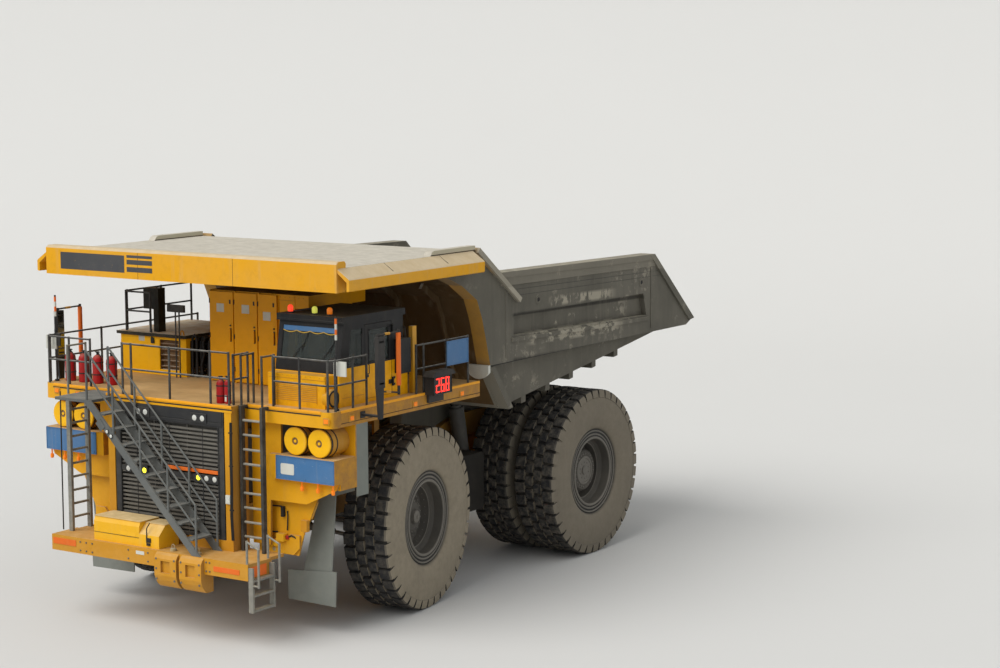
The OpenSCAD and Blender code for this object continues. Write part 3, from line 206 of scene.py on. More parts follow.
def coat(key, base, dust, top=0.75, side=0.12, streaks=0.16, low=0.25, rough=0.42, chips=0,
         chip_color=(0.05, 0.045, 0.04, 1), painted_shade=0, name=None):
    """Worn paint under dust, kept in M; a shade amount paints shade low down and on faces turned
    sideways.
    """
    t = Tree(name or key)
    base = srgb(*base)
    big = t.noise(0.55, 5, 0.6)
    mid = t.noise(6.5, 6, 0.7, shift=(2, 2, 2))
    fine = t.noise(45, 3, 0.6)
    col = t.mix(t.span(big, 0.35, 0.65), shade(base, 0.88), shade(base, 1.048))
    col = t.mix(t.mul(t.span(mid, 0.52, 0.75), 0.35), col, shade(base, 0.72))
    if chips:
        spot = t.span(t.noise(19, 6, 0.75, shift=(9, 4, 1)), 0.64, 0.68)
        col = t.mix(t.mul(spot, chips), col, chip_color)
    if painted_shade:
        # Painted shade: deeper yellow from 3.7 m down, and darker brown on faces turned left or right
        col = t.mix(t.mul(t.span(t.axis(2), 3.7, 2.9), 0.5), col, srgb(168, 108, 4))
        turned = t.span(t.size(t.face(0)), 0.5, 0.95)
        col = t.mix(t.mul(turned, painted_shade), col, srgb(150, 112, 62))
    rough = t.blend(fine, rough - 0.06, rough + 0.1)
    t.bump(t.op("ADD", t.mul(fine, 0.4), mid), 0.12, 0.012)
    M[key] = t.dusted(col, dust, rough, top, side, streaks, low)


coat("paint", (224, 160, 4), SAND, chips=0.5, painted_shade=0.55, name="truck_yellow")
coat("black_steel", (38, 38, 40), (120, 112, 100), 0.45, 0.2, streaks=0.2, rough=0.5)
coat("grey_steel", (88, 87, 84), (150, 142, 128), 0.5, 0.3)
coat("rim", (82, 79, 74), (116, 109, 97), 0.35, 0.35, streaks=0.15, low=0.2, rough=0.6, name="rim_coat")
coat("rim_bead", (112, 108, 101), (140, 132, 118), 0.4, 0.3, streaks=0.1, low=0.2, rough=0.5)
# Near black for the rims' grooves: painted shade
coat("rim_gap_shade", (26, 25, 24), (52, 48, 42), 0.2, 0.1, low=0)
coat("clean_paint", (236, 164, 0), SAND, 0.7, 0.03, streaks=0.05, low=0, chips=0.3, name="clean_yellow")
coat("rubber", (124, 128, 122), (142, 142, 132), 0.4, 0.4, rough=0.75, name="flap_rubber")
coat("blue", (62, 112, 160), (150, 146, 138), 0.6, 0.2, streaks=0.3, chips=0.9,
     chip_color=srgb(170, 176, 178), name="blue_board")
coat("red", (176, 26, 30), (150, 120, 100), 0.5, 0.08, rough=0.3, name="red_coat")
coat("seat", (38, 38, 42), (90, 85, 80), 0.2, 0.1, streaks=0, rough=0.85, name="dark_cloth")


@material("glass", "tinted_glass")
def glass(t):
    film = t.noise(3, 5, 0.6)
    col = t.mix(film, srgb(112, 124, 122), srgb(140, 146, 140))
    t.set("Transmission Weight", 0.85)
    t.set("IOR", 1.25)
    return t.finish(col, t.span(film, 0.3, 0.75, 0.03, 0.22))


def lens_material(name, col, glow):
    t = Tree(name)
    ring = t.noise(30, 3, 0.5)
    c = t.mix(ring, shade(col, 0.8), col)
    if glow:
        t.set("Emission Color", col)
        t.set("Emission Strength", glow)
    return t.finish(c, t.span(ring, 0.3, 0.7, 0.1, 0.25))


for key, name, lens_col, glow in (
        ("lamp", "clear_lens", (214, 214, 206), 0), ("lit_yellow", "lit_yellow", (250, 236, 60), 1.6),
        ("lit_red", "lit_red", (236, 66, 40), 1.1), ("lit_green", "lit_green", (198, 200, 84), 0.6),
        ("amber", "amber_lens", (240, 128, 30), 0.25),
        ("lit_figures", "lit_figures", (255, 60, 48), 1.5)):
    M[key] = lens_material(name, srgb(*lens_col), glow)

coat("panel_grey", (66, 68, 72), (150, 140, 120), 0.3, 0.1, streaks=0.1, low=0, chips=0.3,
     chip_color=srgb(180, 140, 60))
coat("tread_grey", (92, 95, 94), (136, 134, 126), 0.75, 0.35, streaks=0.2, low=0.3, rough=0.65)
coat("bright_yellow", (246, 186, 6), SAND, 0.5, 0.06, chips=0.3)
coat("seam", (60, 58, 52), (92, 88, 78), 0.4, 0.2, name="bed_seam")
# Dark grey for the tanks between the tyres: painted shade
coat("tank_shade", (44, 43, 42), (86, 80, 70), 0.6, 0.3)
coat("louvre_brown", (112, 84, 58), (150, 128, 98), 0.5, 0.4, low=0)
coat("plate_white", (206, 206, 196), (176, 168, 150), 0.4, 0.2, low=0, chips=0.2)
coat("hose", (30, 30, 32), (96, 90, 80), 0.55, 0.2, streaks=0, rough=0.6, name="hose_black")
coat("orange", (228, 104, 26), (200, 150, 90), 0.3, 0.2, streaks=0.2, low=0.1, rough=0.3,
     name="orange_reflector")
coat("battery", (238, 178, 8), (212, 184, 132), 0.95, 0.1, streaks=0.25, low=0.1, chips=0.4,
     name="battery_yellow")
coat("lid_sand", (210, 178, 118), (216, 190, 142), 0.9, 0.3, streaks=0.2, low=0.1, rough=0.6)
coat("dusty_yellow", (196, 142, 34), (166, 138, 98), 0.9, 0.45, streaks=0.4, low=0.4, rough=0.6)
coat("dusty_block", (178, 150, 84), (158, 150, 134), 0.9, 0.7, streaks=0.5, low=0.9, rough=0.8)
coat("gold", (206, 164, 60), (190, 160, 110), 0.2, 0.1, streaks=0, low=0, rough=0.6, name="fringe_gold")
coat("deep_yellow", (206, 140, 8), SAND, 0.6, 0.1, chips=0.3)
coat("lip", (244, 166, 24), (214, 160, 90), 0.35, 0.1, low=0, chips=0.9, chip_color=srgb(120, 84, 30),
     name="lip_orange")
coat("lamp_body", (40, 41, 43), (110, 104, 94), 0.4, 0.2, low=0, rough=0.45)


@material("mirror", "mirror_face")
def shiny(t):
    film = t.noise(4, 5, 0.6)
    t.set("Specular IOR Level", 0.5)
    return t.finish(t.mix(film, srgb(150, 158, 162), srgb(120, 124, 124)),
                    t.span(film, 0.3, 0.7, 0.04, 0.18), 1.0)


@material("deck", "deck_skin")
def deck(t):
    """Decks: dry sand where they face up, orange-yellow paint on their edges, painted shade on their
    sides.
    """
    mid = t.noise(5, 6, 0.7)
    long = t.noise(2.2, 5, 0.6, stretch=(0.4, 1, 1))
    fine = t.noise(45, 3, 0.6)
    edge = t.mix(t.mul(t.span(mid, 0.5, 0.75), 0.4), YELLOW, shade(YELLOW, 0.75))
    # Painted shade on faces turned left or right
    painted_shade = t.mul(t.span(t.size(t.face(0)), 0.6, 0.9), t.span(mid, 0.3, 0.6, 0.5, 0.9))
    edge = t.mix(painted_shade, edge, srgb(150, 106, 50))
    sand = t.tone(long, (176, 142, 94), (202, 166, 114))
    sand = t.mix(t.mul(t.span(mid, 0.55, 0.7), 0.4), sand, srgb(146, 118, 84))
    up = t.span(t.face(2), 0.4, 0.8)
    col = t.mix(up, edge, sand)
    col, r = dust_layers(t, col, srgb(*SAND), t.blend(fine, 0.42, 0.55), 0.3, 0.1, 0.16, 0.2)
    t.bump(t.op("ADD", t.mul(fine, 0.5), mid), 0.15, 0.012)
    return t.finish(col, t.most(r, t.mul(up, 0.85)))


@material("rails", "rail_black")
def rail(t):
    """Handrails: black paint with dust on top, and the yellow post beside the cab."""
    mid = t.noise(9, 5, 0.65)
    post = t.mul(t.within(t.axis(0), 3.212, 3.302), t.within(t.axis(1), -0.384, -0.252))
    dark = t.tone(mid, (34, 34, 36), (60, 59, 57))
    col = t.mix(post, dark, t.mix(mid, YELLOW, shade(YELLOW, 0.8)))
    return t.dusted(col, (150, 147, 139), 0.5, 0.92, 0.26, 0.18, 0.1, 2.0)


@material("ladder", "ladder_steel")
def ladder(t):
    """Ladders: black rails on the left one, pale rungs, grey right ladder and boarding steps."""
    mid = t.noise(9, 5, 0.65)
    x = t.axis(0)
    rungs = t.within(x, 1.6, 2.02)
    low = t.mul(t.under(t.axis(1), -3.43), t.under(t.axis(2), 2.4))
    grey = t.mul(t.under(x, 0.0), 0.72)
    pale = t.most(rungs, grey, t.mul(low, 0.85))
    dark = t.tone(mid, (36, 36, 38), (58, 57, 56))
    light = t.tone(mid, (120, 120, 114), (150, 148, 138), 0.3, 0.7)
    col = t.mix(pale, dark, light)
    return t.dusted(col, (166, 156, 134), 0.6, 0.8, 0.2, 0.15, 0.1, 2.0)


@material("grid_box", "grid_box_skin")
def grid(t):
    """Grid box: bright yellow front, dark ducting and bays, painted shadow on the lid edge, pale dusty
    lid.
    """
    mid = t.noise(6, 6, 0.7)
    fine = t.noise(45, 3, 0.6)
    x = t.axis(0)
    y = t.axis(1)
    z = t.axis(2)
    yellow = t.mix(t.mul(t.span(mid, 0.5, 0.72), 0.4), srgb(255, 190, 0), srgb(232, 166, 0))
    duct_and_lid_shade = t.tone(mid, (36, 34, 26), (58, 54, 42))
    brown = t.tone(mid, (96, 72, 48), (128, 100, 70))
    window = t.mul(t.within(x, -2.3, -1.78), t.within(z, 4.3, 4.9), t.over(y, -1.085))
    side_bay = t.mul(t.over(x, -2.2), t.over(y, -0.99), t.under(z, 4.89))
    col = t.mix(window, yellow, brown)
    col = t.mix(side_bay, col, srgb(52, 42, 32))
    # Painted shadow on the lid's front and side faces, in the ducting's dark colour
    lid = t.mul(t.over(z, 4.935), t.under(t.face(2), 0.5))
    col = t.mix(t.most(lid, t.over(z, 5.03)), col, duct_and_lid_shade)
    t.bump(fine, 0.06, 0.01)
    # Paler dust on the lid, partly painted light against the canopy's shade
    return t.dusted(col, (244, 228, 206), t.blend(fine, 0.42, 0.55), 1.0, 0.0, 0.02, 0)


@material("cab", "cab_two_tone")
def cab(t):
    """Cab skin: yellow below, black above, split a little lower at the front."""
    fine = t.noise(45, 3, 0.6)
    mid = t.noise(6.5, 6, 0.7)
    split = t.blend(t.span(t.axis(1), -2.47, -2.44), 4.782, 4.87)
    upper = t.over(t.axis(2), split)
    yellow = t.tone(mid, (240, 172, 0), (222, 154, 0), 0.4, 0.7)
    dark = t.tone(mid, (22, 23, 25), (32, 32, 34), 0.4, 0.7)
    upper = t.most(upper, t.over(t.axis(0), 3.256))
    col = t.mix(upper, yellow, dark)
    t.bump(fine, 0.05, 0.01)
    return t.dusted(col, (150, 136, 112), t.blend(fine, 0.36, 0.5), 0.45, 0.03, 0.05, 0)


@material("tyre", "tyre_rubber")
def tyre(t):
    """Dark rubber in the tread, dry dust on the sidewalls and lug faces."""
    big = t.noise(1.2, 5, 0.6)
    mid = t.noise(7, 6, 0.7)
    fine = t.noise(60, 4, 0.6)
    rubber = t.mix(mid, srgb(38, 38, 40), srgb(60, 60, 60))
    dust = t.tone(mid, (132, 123, 105), (154, 143, 125), 0.2, 0.8)
    side = t.span(t.size(t.face(0)), 0.45, 0.85)
    mask = t.mul(side, t.span(big, 0.3, 0.6, 0.86, 0.98))
    dust = t.mix(t.mul(t.span(t.axis(1), 2, 3), 0.5), dust, srgb(104, 98, 88))
    rear = t.span(t.axis(1), 2, 3, 0.25, 0.6)
    mask = t.most(mask, t.mul(t.span(mid, 0.42, 0.7), rear))
    col = t.mix(mask, rubber, dust)
    t.bump(t.op("ADD", fine, mid), 0.18, 0.012)
    return t.finish(col, 0.9)


@material("canopy", "canopy_skin")
def canopy(t):
    """Canopy: yellow fascia, pale worn top, brown front wall, painted shade under its front."""
    mid = t.noise(5, 6, 0.7)
    fine = t.noise(45, 3, 0.6)
    y = t.axis(1)
    yellow = t.mix(t.mul(t.span(mid, 0.5, 0.72), 0.5), YELLOW, shade(YELLOW, 0.78))
    top = t.tone(mid, (176, 170, 157), (203, 197, 184))
    inner = t.tone(mid, (96, 92, 84), (124, 118, 106))
    up = t.span(t.face(2), 0.35, 0.6)
    edge = t.most(t.over(t.size(t.axis(0)), 3.496),
                  t.under(y, -2.59))
    # Painted shade: near black under the canopy's front, brown towards the wall behind
    col = t.mix(t.span(y, -0.2, 2.2), srgb(44, 36, 28), shade(srgb(104, 78, 42), 0.8))
    col = t.mix(t.over(t.face(1), 0.15), col, inner)
    col = t.mix(t.over(t.axis(2), 6.72), col, srgb(186, 178, 154))
    col = t.mix(edge, col, yellow)
    col = t.mix(up, col, top)
    col = t.mix(t.mul(up, edge, 0.55), col, srgb(212, 176, 110))
    t.bump(t.op("ADD", t.mul(fine, 0.3), mid), 0.1, 0.012)
    return t.dusted(col, (176, 166, 146), t.blend(fine, 0.42, 0.6), 0.3, 0.12, 0.2, 0)


@material("bed_steel", "bed_steel")
def bed(t):
    """Steel bed caked in pale mud, scraped in places; front return in old yellow brightened as painted
    light.
    """
    big = t.noise(0.6, 6, 0.62)
    mid = t.noise(3.2, 7, 0.7)
    fine = t.noise(40, 4, 0.65)
    run = t.noise(5, 5, 0.6, stretch=(1, 1, 0.12))
    col = t.tone(big, (88, 85, 76), (104, 100, 90))
    col = t.mix(t.mul(t.span(run, 0.5, 0.75), 0.5), col, srgb(78, 75, 68))
    scrape = t.mul(t.span(mid, 0.56, 0.6), t.span(big, 0.5, 0.62))
    col = t.mix(t.mul(scrape, 0.75), col, srgb(146, 139, 124))
    x = t.size(t.axis(0))
    y = t.axis(1)
    z = t.op("ADD", t.axis(2), t.mul(t.op("SUBTRACT", y, 3), 0.022))
    ahead = t.span(t.face(1), -0.25, -0.6)
    col = t.mix(t.mul(ahead, t.span(y, 3, 3.1, 1, 0)), col, srgb(136, 131, 118))
    # Old yellow front return, brightened as painted light
    front = t.mul(ahead, t.span(y, 1.9, 2.1, 1, 0), t.over(t.axis(2), 4.425))
    col = t.mix(front, col, t.mix(mid, srgb(206, 152, 58), srgb(150, 118, 66)))
    out = t.over(x, 3.3)
    wing = t.mul(t.over(x, 3.503), t.span(y, 2.96, 2.97, 1, 0))
    col = t.mix(t.mul(wing, 0.65), col, srgb(186, 178, 160))
    rail = t.mul(t.over(x, 3.455), t.over(z, 5.9))
    col = t.mix(t.mul(rail, 0.5), col, srgb(136, 130, 116))

    def mark(y0, y1, z0, z1, size, cut, tall):
        """Patch where worn pale paint shows through the mud."""
        grain = t.noise(size, 8, 0.72, stretch=(1, 1, tall), shift=(y0, z0, 3))
        along = t.strip(y, y0, y0 + 0.3, y1 - 0.4, y1)
        up = t.strip(z, z0, z0 + 0.06, z1 - 0.06, z1)
        return t.mul(along, up, out, t.span(grain, cut, cut + 0.05))

    for spot in ((4.0, 6.7, 5.38, 5.62, 3.6, 0.46, 0.5), (3.2, 7.0, 4.66, 4.96, 2.2, 0.47, 1.6),
                 (4.2, 7.4, 4.98, 5.2, 3.0, 0.56, 1.0), (2.8, 4.2, 4.16, 4.34, 3.2, 0.56, 1.0)):
        col = t.mix(t.mul(mark(*spot), 0.85), col, srgb(164, 157, 140))
    # Painted shadow: dark lines under the step and along the top of the recess
    line = t.most(t.strip(z, 4.37, 4.41, 4.43, 4.5), t.strip(z, 5.27, 5.3, 5.34, 5.38))
    along = t.strip(y, 2.7, 2.8, 7.8, 7.9)
    col = t.mix(t.mul(line, along, out, 0.8), col, srgb(36, 34, 31))
    t.bump(t.op("ADD", t.mul(fine, 0.5), mid), 0.25, 0.015)
    return t.dusted(col, (152, 145, 128), t.blend(fine, 0.62, 0.8), 0.92, 0.1, 0.14, 0)


@material("grille", "grille_bars")
def grille(t):
    """Black frame and pale, dusty bars between its sides."""
    mid = t.noise(6, 5, 0.65)
    fine = t.noise(50, 3, 0.6)
    inside = t.mul(t.under(t.size(t.axis(0)), 1.18), t.over(t.axis(1), -3.395))
    frame_col = t.tone(mid, (42, 43, 45), (60, 60, 60))
    bars = t.tone(mid, (86, 84, 80), (112, 108, 100), 0.3, 0.7)
    col = t.mix(inside, frame_col, bars)
    t.bump(fine, 0.08, 0.01)
    return t.dusted(col, (128, 121, 108), t.blend(fine, 0.45, 0.6), 0.6, 0.15, 0.15, 0)


# Nodes that wear another material than their slot's
SPECIAL = {"cab": "cab_shell cab_door_left cab_door_right", "canopy": "bed_canopy", "grille": "grille",
           "battery": "battery_box", "tread_grey": "front_stairs", "rubber": "mud_flaps",
           "rails": "handrails", "ladder": "ladders", "deck": "deck_left deck_right deck_center",
           "clean_paint": "control_cabinet cabinet_door_1 cabinet_door_2 cabinet_door_3",
           "grid_box": "retard_grid_box", "tank_shade": "fuel_tank hydraulic_tank"}
key_of = {s["node"]: s["material_slot"] for s in frame["record"]["subparts"]}
key_of.update({node: key for key, nodes in SPECIAL.items() for node in nodes.split()})
for name, obj in NODES.items():
    obj.data.materials.clear()
    obj.data.materials.append(M[key_of[name]])


# Fine pieces: places are in millimetres from the front axle's line, as in the CAD source;
# a name such as GRILLE or BOARD is the place of that part's outer face

def mm(x, y, z):
    return Vector((x / 1000, y / 1000 + AXLE, z / 1000))


def ring(bm, c, side, other, r, n):
    """Ring of n points about c, in the plane of two directions."""
    turns = [2 * pi * i / n for i in range(n)]
    return [bm.verts.new(c + r * (cos(t) * side + sin(t) * other)) for t in turns]


def join(bm, a, b):
    """Faces between two rings of points; a ring of one point makes a fan."""
    n = max(len(a), len(b))
    for i in range(n):
        j = (i + 1) % n
        corners = [a[i % len(a)], a[j % len(a)], b[j % len(b)], b[i % len(b)]]
        bm.faces.new(list(dict.fromkeys(corners)))


def add_object(name, data):
    obj = bpy.data.objects.new(name, data)
    scene.collection.objects.link(obj)
    return obj


def make(name, bm, material, body, angle):
    """Turns a bmesh into a piece that rides on a body."""
    mesh = bpy.data.meshes.new(name)
    bm.to_mesh(mesh)
    bm.free()
    mesh.materials.append(M[material])
    obj = add_object(name, mesh)
    mesh.shade_smooth()
    mesh.set_sharp_from_angle(angle=radians(angle))
    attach(obj, body)
    return obj


KITS = []


class Kit:
    """Collects small forms that share a material and a body into one piece.

    The piece has a bevel in millimetres, and is smooth under an angle in degrees.
    """

    def __init__(self, name, material, bevel=0, body="chassis", angle=35):
        self.bm = bmesh.new()
        self.bevel = bevel
        self.rest = (name, self.bm, material, body, angle)
        KITS.append(self)

    def box(self, a, b, turn=0, axis="X", at=None):
        """Box between two opposite corners, turned round a line along an axis through a point."""
        lo = mm(*map(min, a, b))
        hi = mm(*map(max, a, b))
        verts = [self.bm.verts.new((x, y, z)) for x in (lo.x, hi.x) for y in (lo.y, hi.y)
                 for z in (lo.z, hi.z)]
        for f in ((0, 1, 3, 2), (4, 6, 7, 5), (0, 4, 5, 1), (2, 3, 7, 6), (0, 2, 6, 4), (1, 5, 7, 3)):
            self.bm.faces.new([verts[i] for i in f])
        if turn:
            c = mm(*at)
            for v in verts:
                v.co = Matrix.Rotation(turn, 3, axis) @ (v.co - c) + c

    def rod(self, a, b, r, n=14):
        self.tube([a, b], r, n)

    def tube(self, points, r, n=10):
        """Tube that follows a line of points, with mitred joints."""
        pts = [mm(*p) for p in points]
        rings = []
        normal = None
        for before, p, after in zip([None] + pts, pts, pts[1:] + [None]):
            d = Vector()
            if after is not None:
                d += (after - p).normalized()
            if before is not None:
                d += (p - before).normalized()
            d.normalize()
            if normal is None:
                normal = d.orthogonal().normalized()
            normal = (normal - d * normal.dot(d)).normalized()
            rings.append(ring(self.bm, p, normal, d.cross(normal), r / 1000, n))
        for a, b in zip(rings, rings[1:]):
            join(self.bm, a, b)
        self.bm.faces.new(rings[0][::-1])
        self.bm.faces.new(rings[-1])

    def plate(self, points, way, lo, hi):
        """Extrudes an outline along an axis; its points leave that axis out."""
        def place(p, d):
            q = list(p)
            q.insert(way, d)
            return self.bm.verts.new(mm(*q))
        lo, hi = sorted((lo, hi))
        a = [place(p, lo) for p in points]
        b = [place(p, hi) for p in points]
        join(self.bm, a, b)
        self.bm.faces.new(a[::-1])
        self.bm.faces.new(b)

    def lathe(self, profile, start, way, n=40, close=False):
        """Turns [radius, along] points round an axis that starts at a point and runs along way."""
        c = mm(*start)
        d = Vector(way).normalized()
        s = d.orthogonal().normalized()
        o = d.cross(s)
        rings = [ring(self.bm, c + d * h / 1000, s, o, r / 1000, n if r else 1) for r, h in profile]
        if close:
            rings.append(rings[0])
        for a, b in zip(rings, rings[1:]):
            join(self.bm, a, b)

    def bolts(self, places, way, r=15, n=6):
        for p in places:
            self.lathe([(0, r), (r * 0.85, r * 0.9), (r, 0), (0, 0)], p, way, n)

    def done(self):
        KITS.remove(self)
        bmesh.ops.recalc_face_normals(self.bm, faces=self.bm.faces)
        obj = make(*self.rest)
        if self.bevel:
            m = obj.modifiers.new("edge", "BEVEL")
            m.width = self.bevel / 1000
            m.segments = 2
            m.limit_method = "ANGLE"
            m.angle_limit = radians(40)
            m.harden_normals = True
        return obj


# Tyres

TYRE_R = 1725
LUGS = 40
CARCASS = [(724, -349), (800, -352), (872, -350), (884, -382), (915, -418), (975, -447),
           (1060, -466), (1160, -474), (1270, -475), (1390, -471), (1500, -462), (1590, -449),
           (1640, -432), (1652, -400), (1654, -200), (1655, 0)]


# Tread blocks: outline across the tyre as [along the axle, radius], half width and skew in pitches
BLOCKS = (([(205, 1645), (212, TYRE_R), (418, TYRE_R), (446, TYRE_R - 18), (463, 1640), (468, 1560),
            (455, 1545)], 0.405, 0.06),
          ([(14, 1645), (20, TYRE_R - 4), (186, TYRE_R - 4), (192, 1645)], 0.38, 0.1))


def tyre(bm, place):
    """Carcass with two rows of shoulder lugs, and staggered rows in the middle."""
    def at(r, u, a):
        return place @ Vector((u / 1000, r * sin(a) / 1000, -r * cos(a) / 1000))

    profile = CARCASS + [(r, -u) for r, u in CARCASS[-2::-1]]
    n = 160
    rings = [[bm.verts.new(at(r, u, 2 * pi * i / n)) for i in range(n)] for r, u in profile]
    rings.append(rings[0])
    for a, b in zip(rings, rings[1:]):
        for i in range(n):
            j = (i + 1) % n
            bm.faces.new([a[i], b[i], b[j], a[j]])
    pitch = 2 * pi / LUGS
    for side in (-1, 1):
        for row in (0, 1):
            for k in range(LUGS):
                mid = k * pitch + (0 if side > 0 else pitch / 2) + row * pitch * 0.5
                lug(bm, at, side, row, mid, pitch)


def lug(bm, at, side, row, mid, pitch):
    """One tread block: its outline across the tyre, swept over three angles."""
    across, half, skew = BLOCKS[row]
    rows = []
    for f in (-1, 0, 1):
        line = []
        for u, r in across:
            lean = 0.93 if r > 1700 else 1.0
            a = mid + pitch * (f * half * lean + skew * (u - 300) / 300)
            line.append(bm.verts.new(at(r, side * u, a)))
        rows.append(line)
    for a, b in zip(rows, rows[1:]):
        join(bm, a, b)
    bm.faces.new(rows[0])
    bm.faces.new(rows[-1])


# Wheels' places in metres
KINGPIN = 1.72
FRONT_WHEEL = 2.79
REAR_WHEELS = (2.97, 1.86)
REAR_AXLE = 5.889
STEER = radians(8)


def front_place(side):
    """Middle of a front wheel: +X points out on the left and in on the right."""
    pin = Matrix.Translation((side * KINGPIN, AXLE, TYRE_R / 1000)) @ Matrix.Rotation(STEER, 4, "Z")
    return pin @ Matrix.Translation((side * (FRONT_WHEEL - KINGPIN), 0, 0))


def rear_place(x):
    return Matrix.Translation((x, REAR_AXLE + AXLE, TYRE_R / 1000))


WHEELS = {"tyre_front_left": [front_place(1)], "tyre_front_right": [front_place(-1)],
          "tyres_rear_left": [rear_place(x) for x in REAR_WHEELS],
          "tyres_rear_right": [rear_place(-x) for x in REAR_WHEELS]}
BODY_OF = {n: b for b, group in frame["record"]["behaviour"]["bodies"].items() for n in group}
for node, places in WHEELS.items():
    k = Kit("lugged_" + node, "tyre", 0, BODY_OF[node], 32)
    for place in places:
        tyre(k.bm, place)
    tyre_obj = k.done()
    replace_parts(tyre_obj, node)


# Canopy graphics: a blank grey field and three stripes, and a seam beside the right end

k = Kit("canopy_stripes", "panel_grey", 2, "bed")
for x0, x1, z0, z1 in ((-3125, -1486, 6384, 6704), (-1424, -790, 6668, 6718),
                       (-1424, -790, 6545, 6632), (-1424, -790, 6405, 6497)):
    k.box((x0, -2889, z0), (x1, -2883, z1))

k = Kit("canopy_seams", "hose", 0, "bed")
for x in (-1150, 1150):
    k.box((x - 3, -2887, 6276), (x + 3, -2884, 6770))
for y in (-1500, 200):
    k.box((3494, y - 3, 6690), (3752, y + 3, 6702), 0.56, "Y", (3494, y, 6701))

# Grille: rim, badge field, mesh posts, lamp housings

GRILLE = -3409
k = Kit("grille_trim", "lamp_body", 6)
k.box((-1290, -3424, 3800), (1290, GRILLE, 3860))
k.box((-1290, -3420, 3870), (1290, GRILLE, 4060))
for x in (-1190, 1190):
    k.box((x - 12, -3422, 1800), (x + 12, GRILLE, 3790))
for x in (-800, 0, 800):
    k.box((x - 7, -3398, 1800), (x + 7, -3386, 3785))
for x in (-624, 749):
    k.box((x - 190, -3440, 3830), (x + 190, GRILLE, 4005))
for x in (-988, -589):
    k.box((x - 75, -3440, 2760), (x + 75, GRILLE, 2930))
k.box((640, -3440, 2745), (1195, GRILLE, 2895))
for x in (-1180, 1180):
    for z in (1900, 2350, 2700, 3100, 3500, 3740):
        k.lathe([(0, 12), (13, 12), (16, 0), (0, 0)], (x, -3422, z), FORE, 8)


def lamp_kit(name, lens, places, r, depth):
    """Round lamps that look forward: a can with a rim, and a domed lens."""
    can = Kit(name + "_cans", "lamp_body")
    face = Kit(name, lens)
    for spot in places:
        can.lathe([(0, 0), (r * 0.9, 0), (r, depth * 0.3), (r, depth), (r * 0.9, depth + 4),
                   (r * 0.84, depth - 4), (0, depth - 6)], spot, FORE, 28)
        face.lathe([(r * 0.85, depth - 8), (r * 0.82, depth), (r * 0.6, depth + 7),
                    (r * 0.3, depth + 11), (0, depth + 12)], spot, FORE, 28)
    return face


HEAD = [(x, -3411, 3920) for x in (-711, -538, 657, 841)]
heads = lamp_kit("head_lamps", "lamp", HEAD, 66, 28).done()
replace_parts(heads, "lamps")
lamp_kit("work_lamps", "lamp", [(x, -3411, 2832) for x in (-988, 915, 1108)], 62, 28)
lamp_kit("lit_lamps", "lit_yellow", [(x, -3411, 2832) for x in (-589, 723)], 62, 28)

feet = Kit("beacon_feet", "lamp_body")
for word, lens, x in (("red", "lit_red", 1977), ("green", "lit_green", 2532),
                      ("orange", "amber", 2873)):
    k = Kit("beacon_" + word, lens)
    k.lathe([(0, 24), (44, 24), (50, 40), (52, 104), (40, 134), (20, 147), (0, 150)],
            (x, -2280, 5790), UP, 28)
    feet.lathe([(0, 26), (56, 26), (58, 20), (58, 0), (0, 0)], (x, -2280, 5789), UP, 24)
feet.tube([(2030, -2290, 5800), (2080, -2280, 5830), (2400, -2200, 5880), (2420, -2190, 5795)], 11)

k = Kit("amber_strip", "orange", 4)
k.box((-60, -3432, 2925), (1180, -3412, 2985))
k.box((-60, -3427, 2921), (1180, -3414, 2989))

# Column and ladder side of the grille: box, conduit and hoses

k = Kit("column_gear", "plate_white", 5)
k.box((1362, -3448, 2420), (1468, -3411, 2580))
k.box((1372, -3454, 2440), (1458, -3448, 2560))

k = Kit("column_hoses", "hose")
for i, x in enumerate((1470, 1492, 1512)):
    k.tube([(x, -3405 - 4 * i, 3900), (x, -3420, 3300), (x + 14, -3432, 2700),
            (x - 6, -3425, 2200), (x + 10, -3416, 1760)], 13 - 2 * i)
for z in (3700, 3100, 2300):
    k.box((1450, -3440, z), (1530, -3408, z + 24))

# Number boards: blank, with a turned edge and bolts

BOARD = -3021
for side in (-1, 1):
    k = Kit("board_trim_left" if side > 0 else "board_trim_right", "blue")
    a, b = (2200, 3496) if side > 0 else (-3496, -2200)
    for z in (2908, 3322):
        k.box((a, -3030, z - 6), (b, BOARD, z + 6))
    for x in (a, b):
        k.box((x - 5, -3030, 2905), (x + 5, BOARD, 3325))
    for x in (a + 60, (a + b) / 2, b - 60):
        for z in (2945, 3290):
            k.lathe([(0, 10), (12, 9), (15, 0), (0, 0)], (x, BOARD, z), FORE, 8)

k = Kit("board_plate", "plate_white")
k.plate([(2322, 2996), (2588, 2996), (2606, 3014), (2606, 3176), (2588, 3194), (2322, 3194),
         (2304, 3176), (2304, 3014)], 1, -3027, BOARD)

# Markers: square orange lamps on the deck's edge, and round ones hanging under the boards

k = Kit("marker_frames", "dusty_yellow", 5)
face = Kit("marker_lenses", "amber", 9)
for x, z in ((3375, 4032), (-2600, 4040), (-3147, 4060)):
    k.box((x - 72, -3064, z - 60), (x + 72, -3049, z + 60))
    face.box((x - 48, -3076, z - 38), (x + 48, -3062, z + 38))
for y in (-2500, -600, 900):
    k.box((3499, y - 72, 3970), (3513, y + 72, 4090))
    face.box((3512, y - 48, 3992), (3526, y + 48, 4068))

k = Kit("hanging_lamps", "amber")
for side in (-1, 1):
    for x in (2730, 3089, 3430):
        foot = (side * x, -2960, 2800)
        k.lathe([(0, 0), (30, 2), (34, 16), (34, 66), (26, 84), (0, 90)], foot, (0, 0, -1), 18)
        k.lathe([(0, -110), (14, -110), (14, 0), (0, 0)], foot, (0, 0, -1), 10)

# Bumper: reflectors, labels left blank, bolts and worn tow blocks

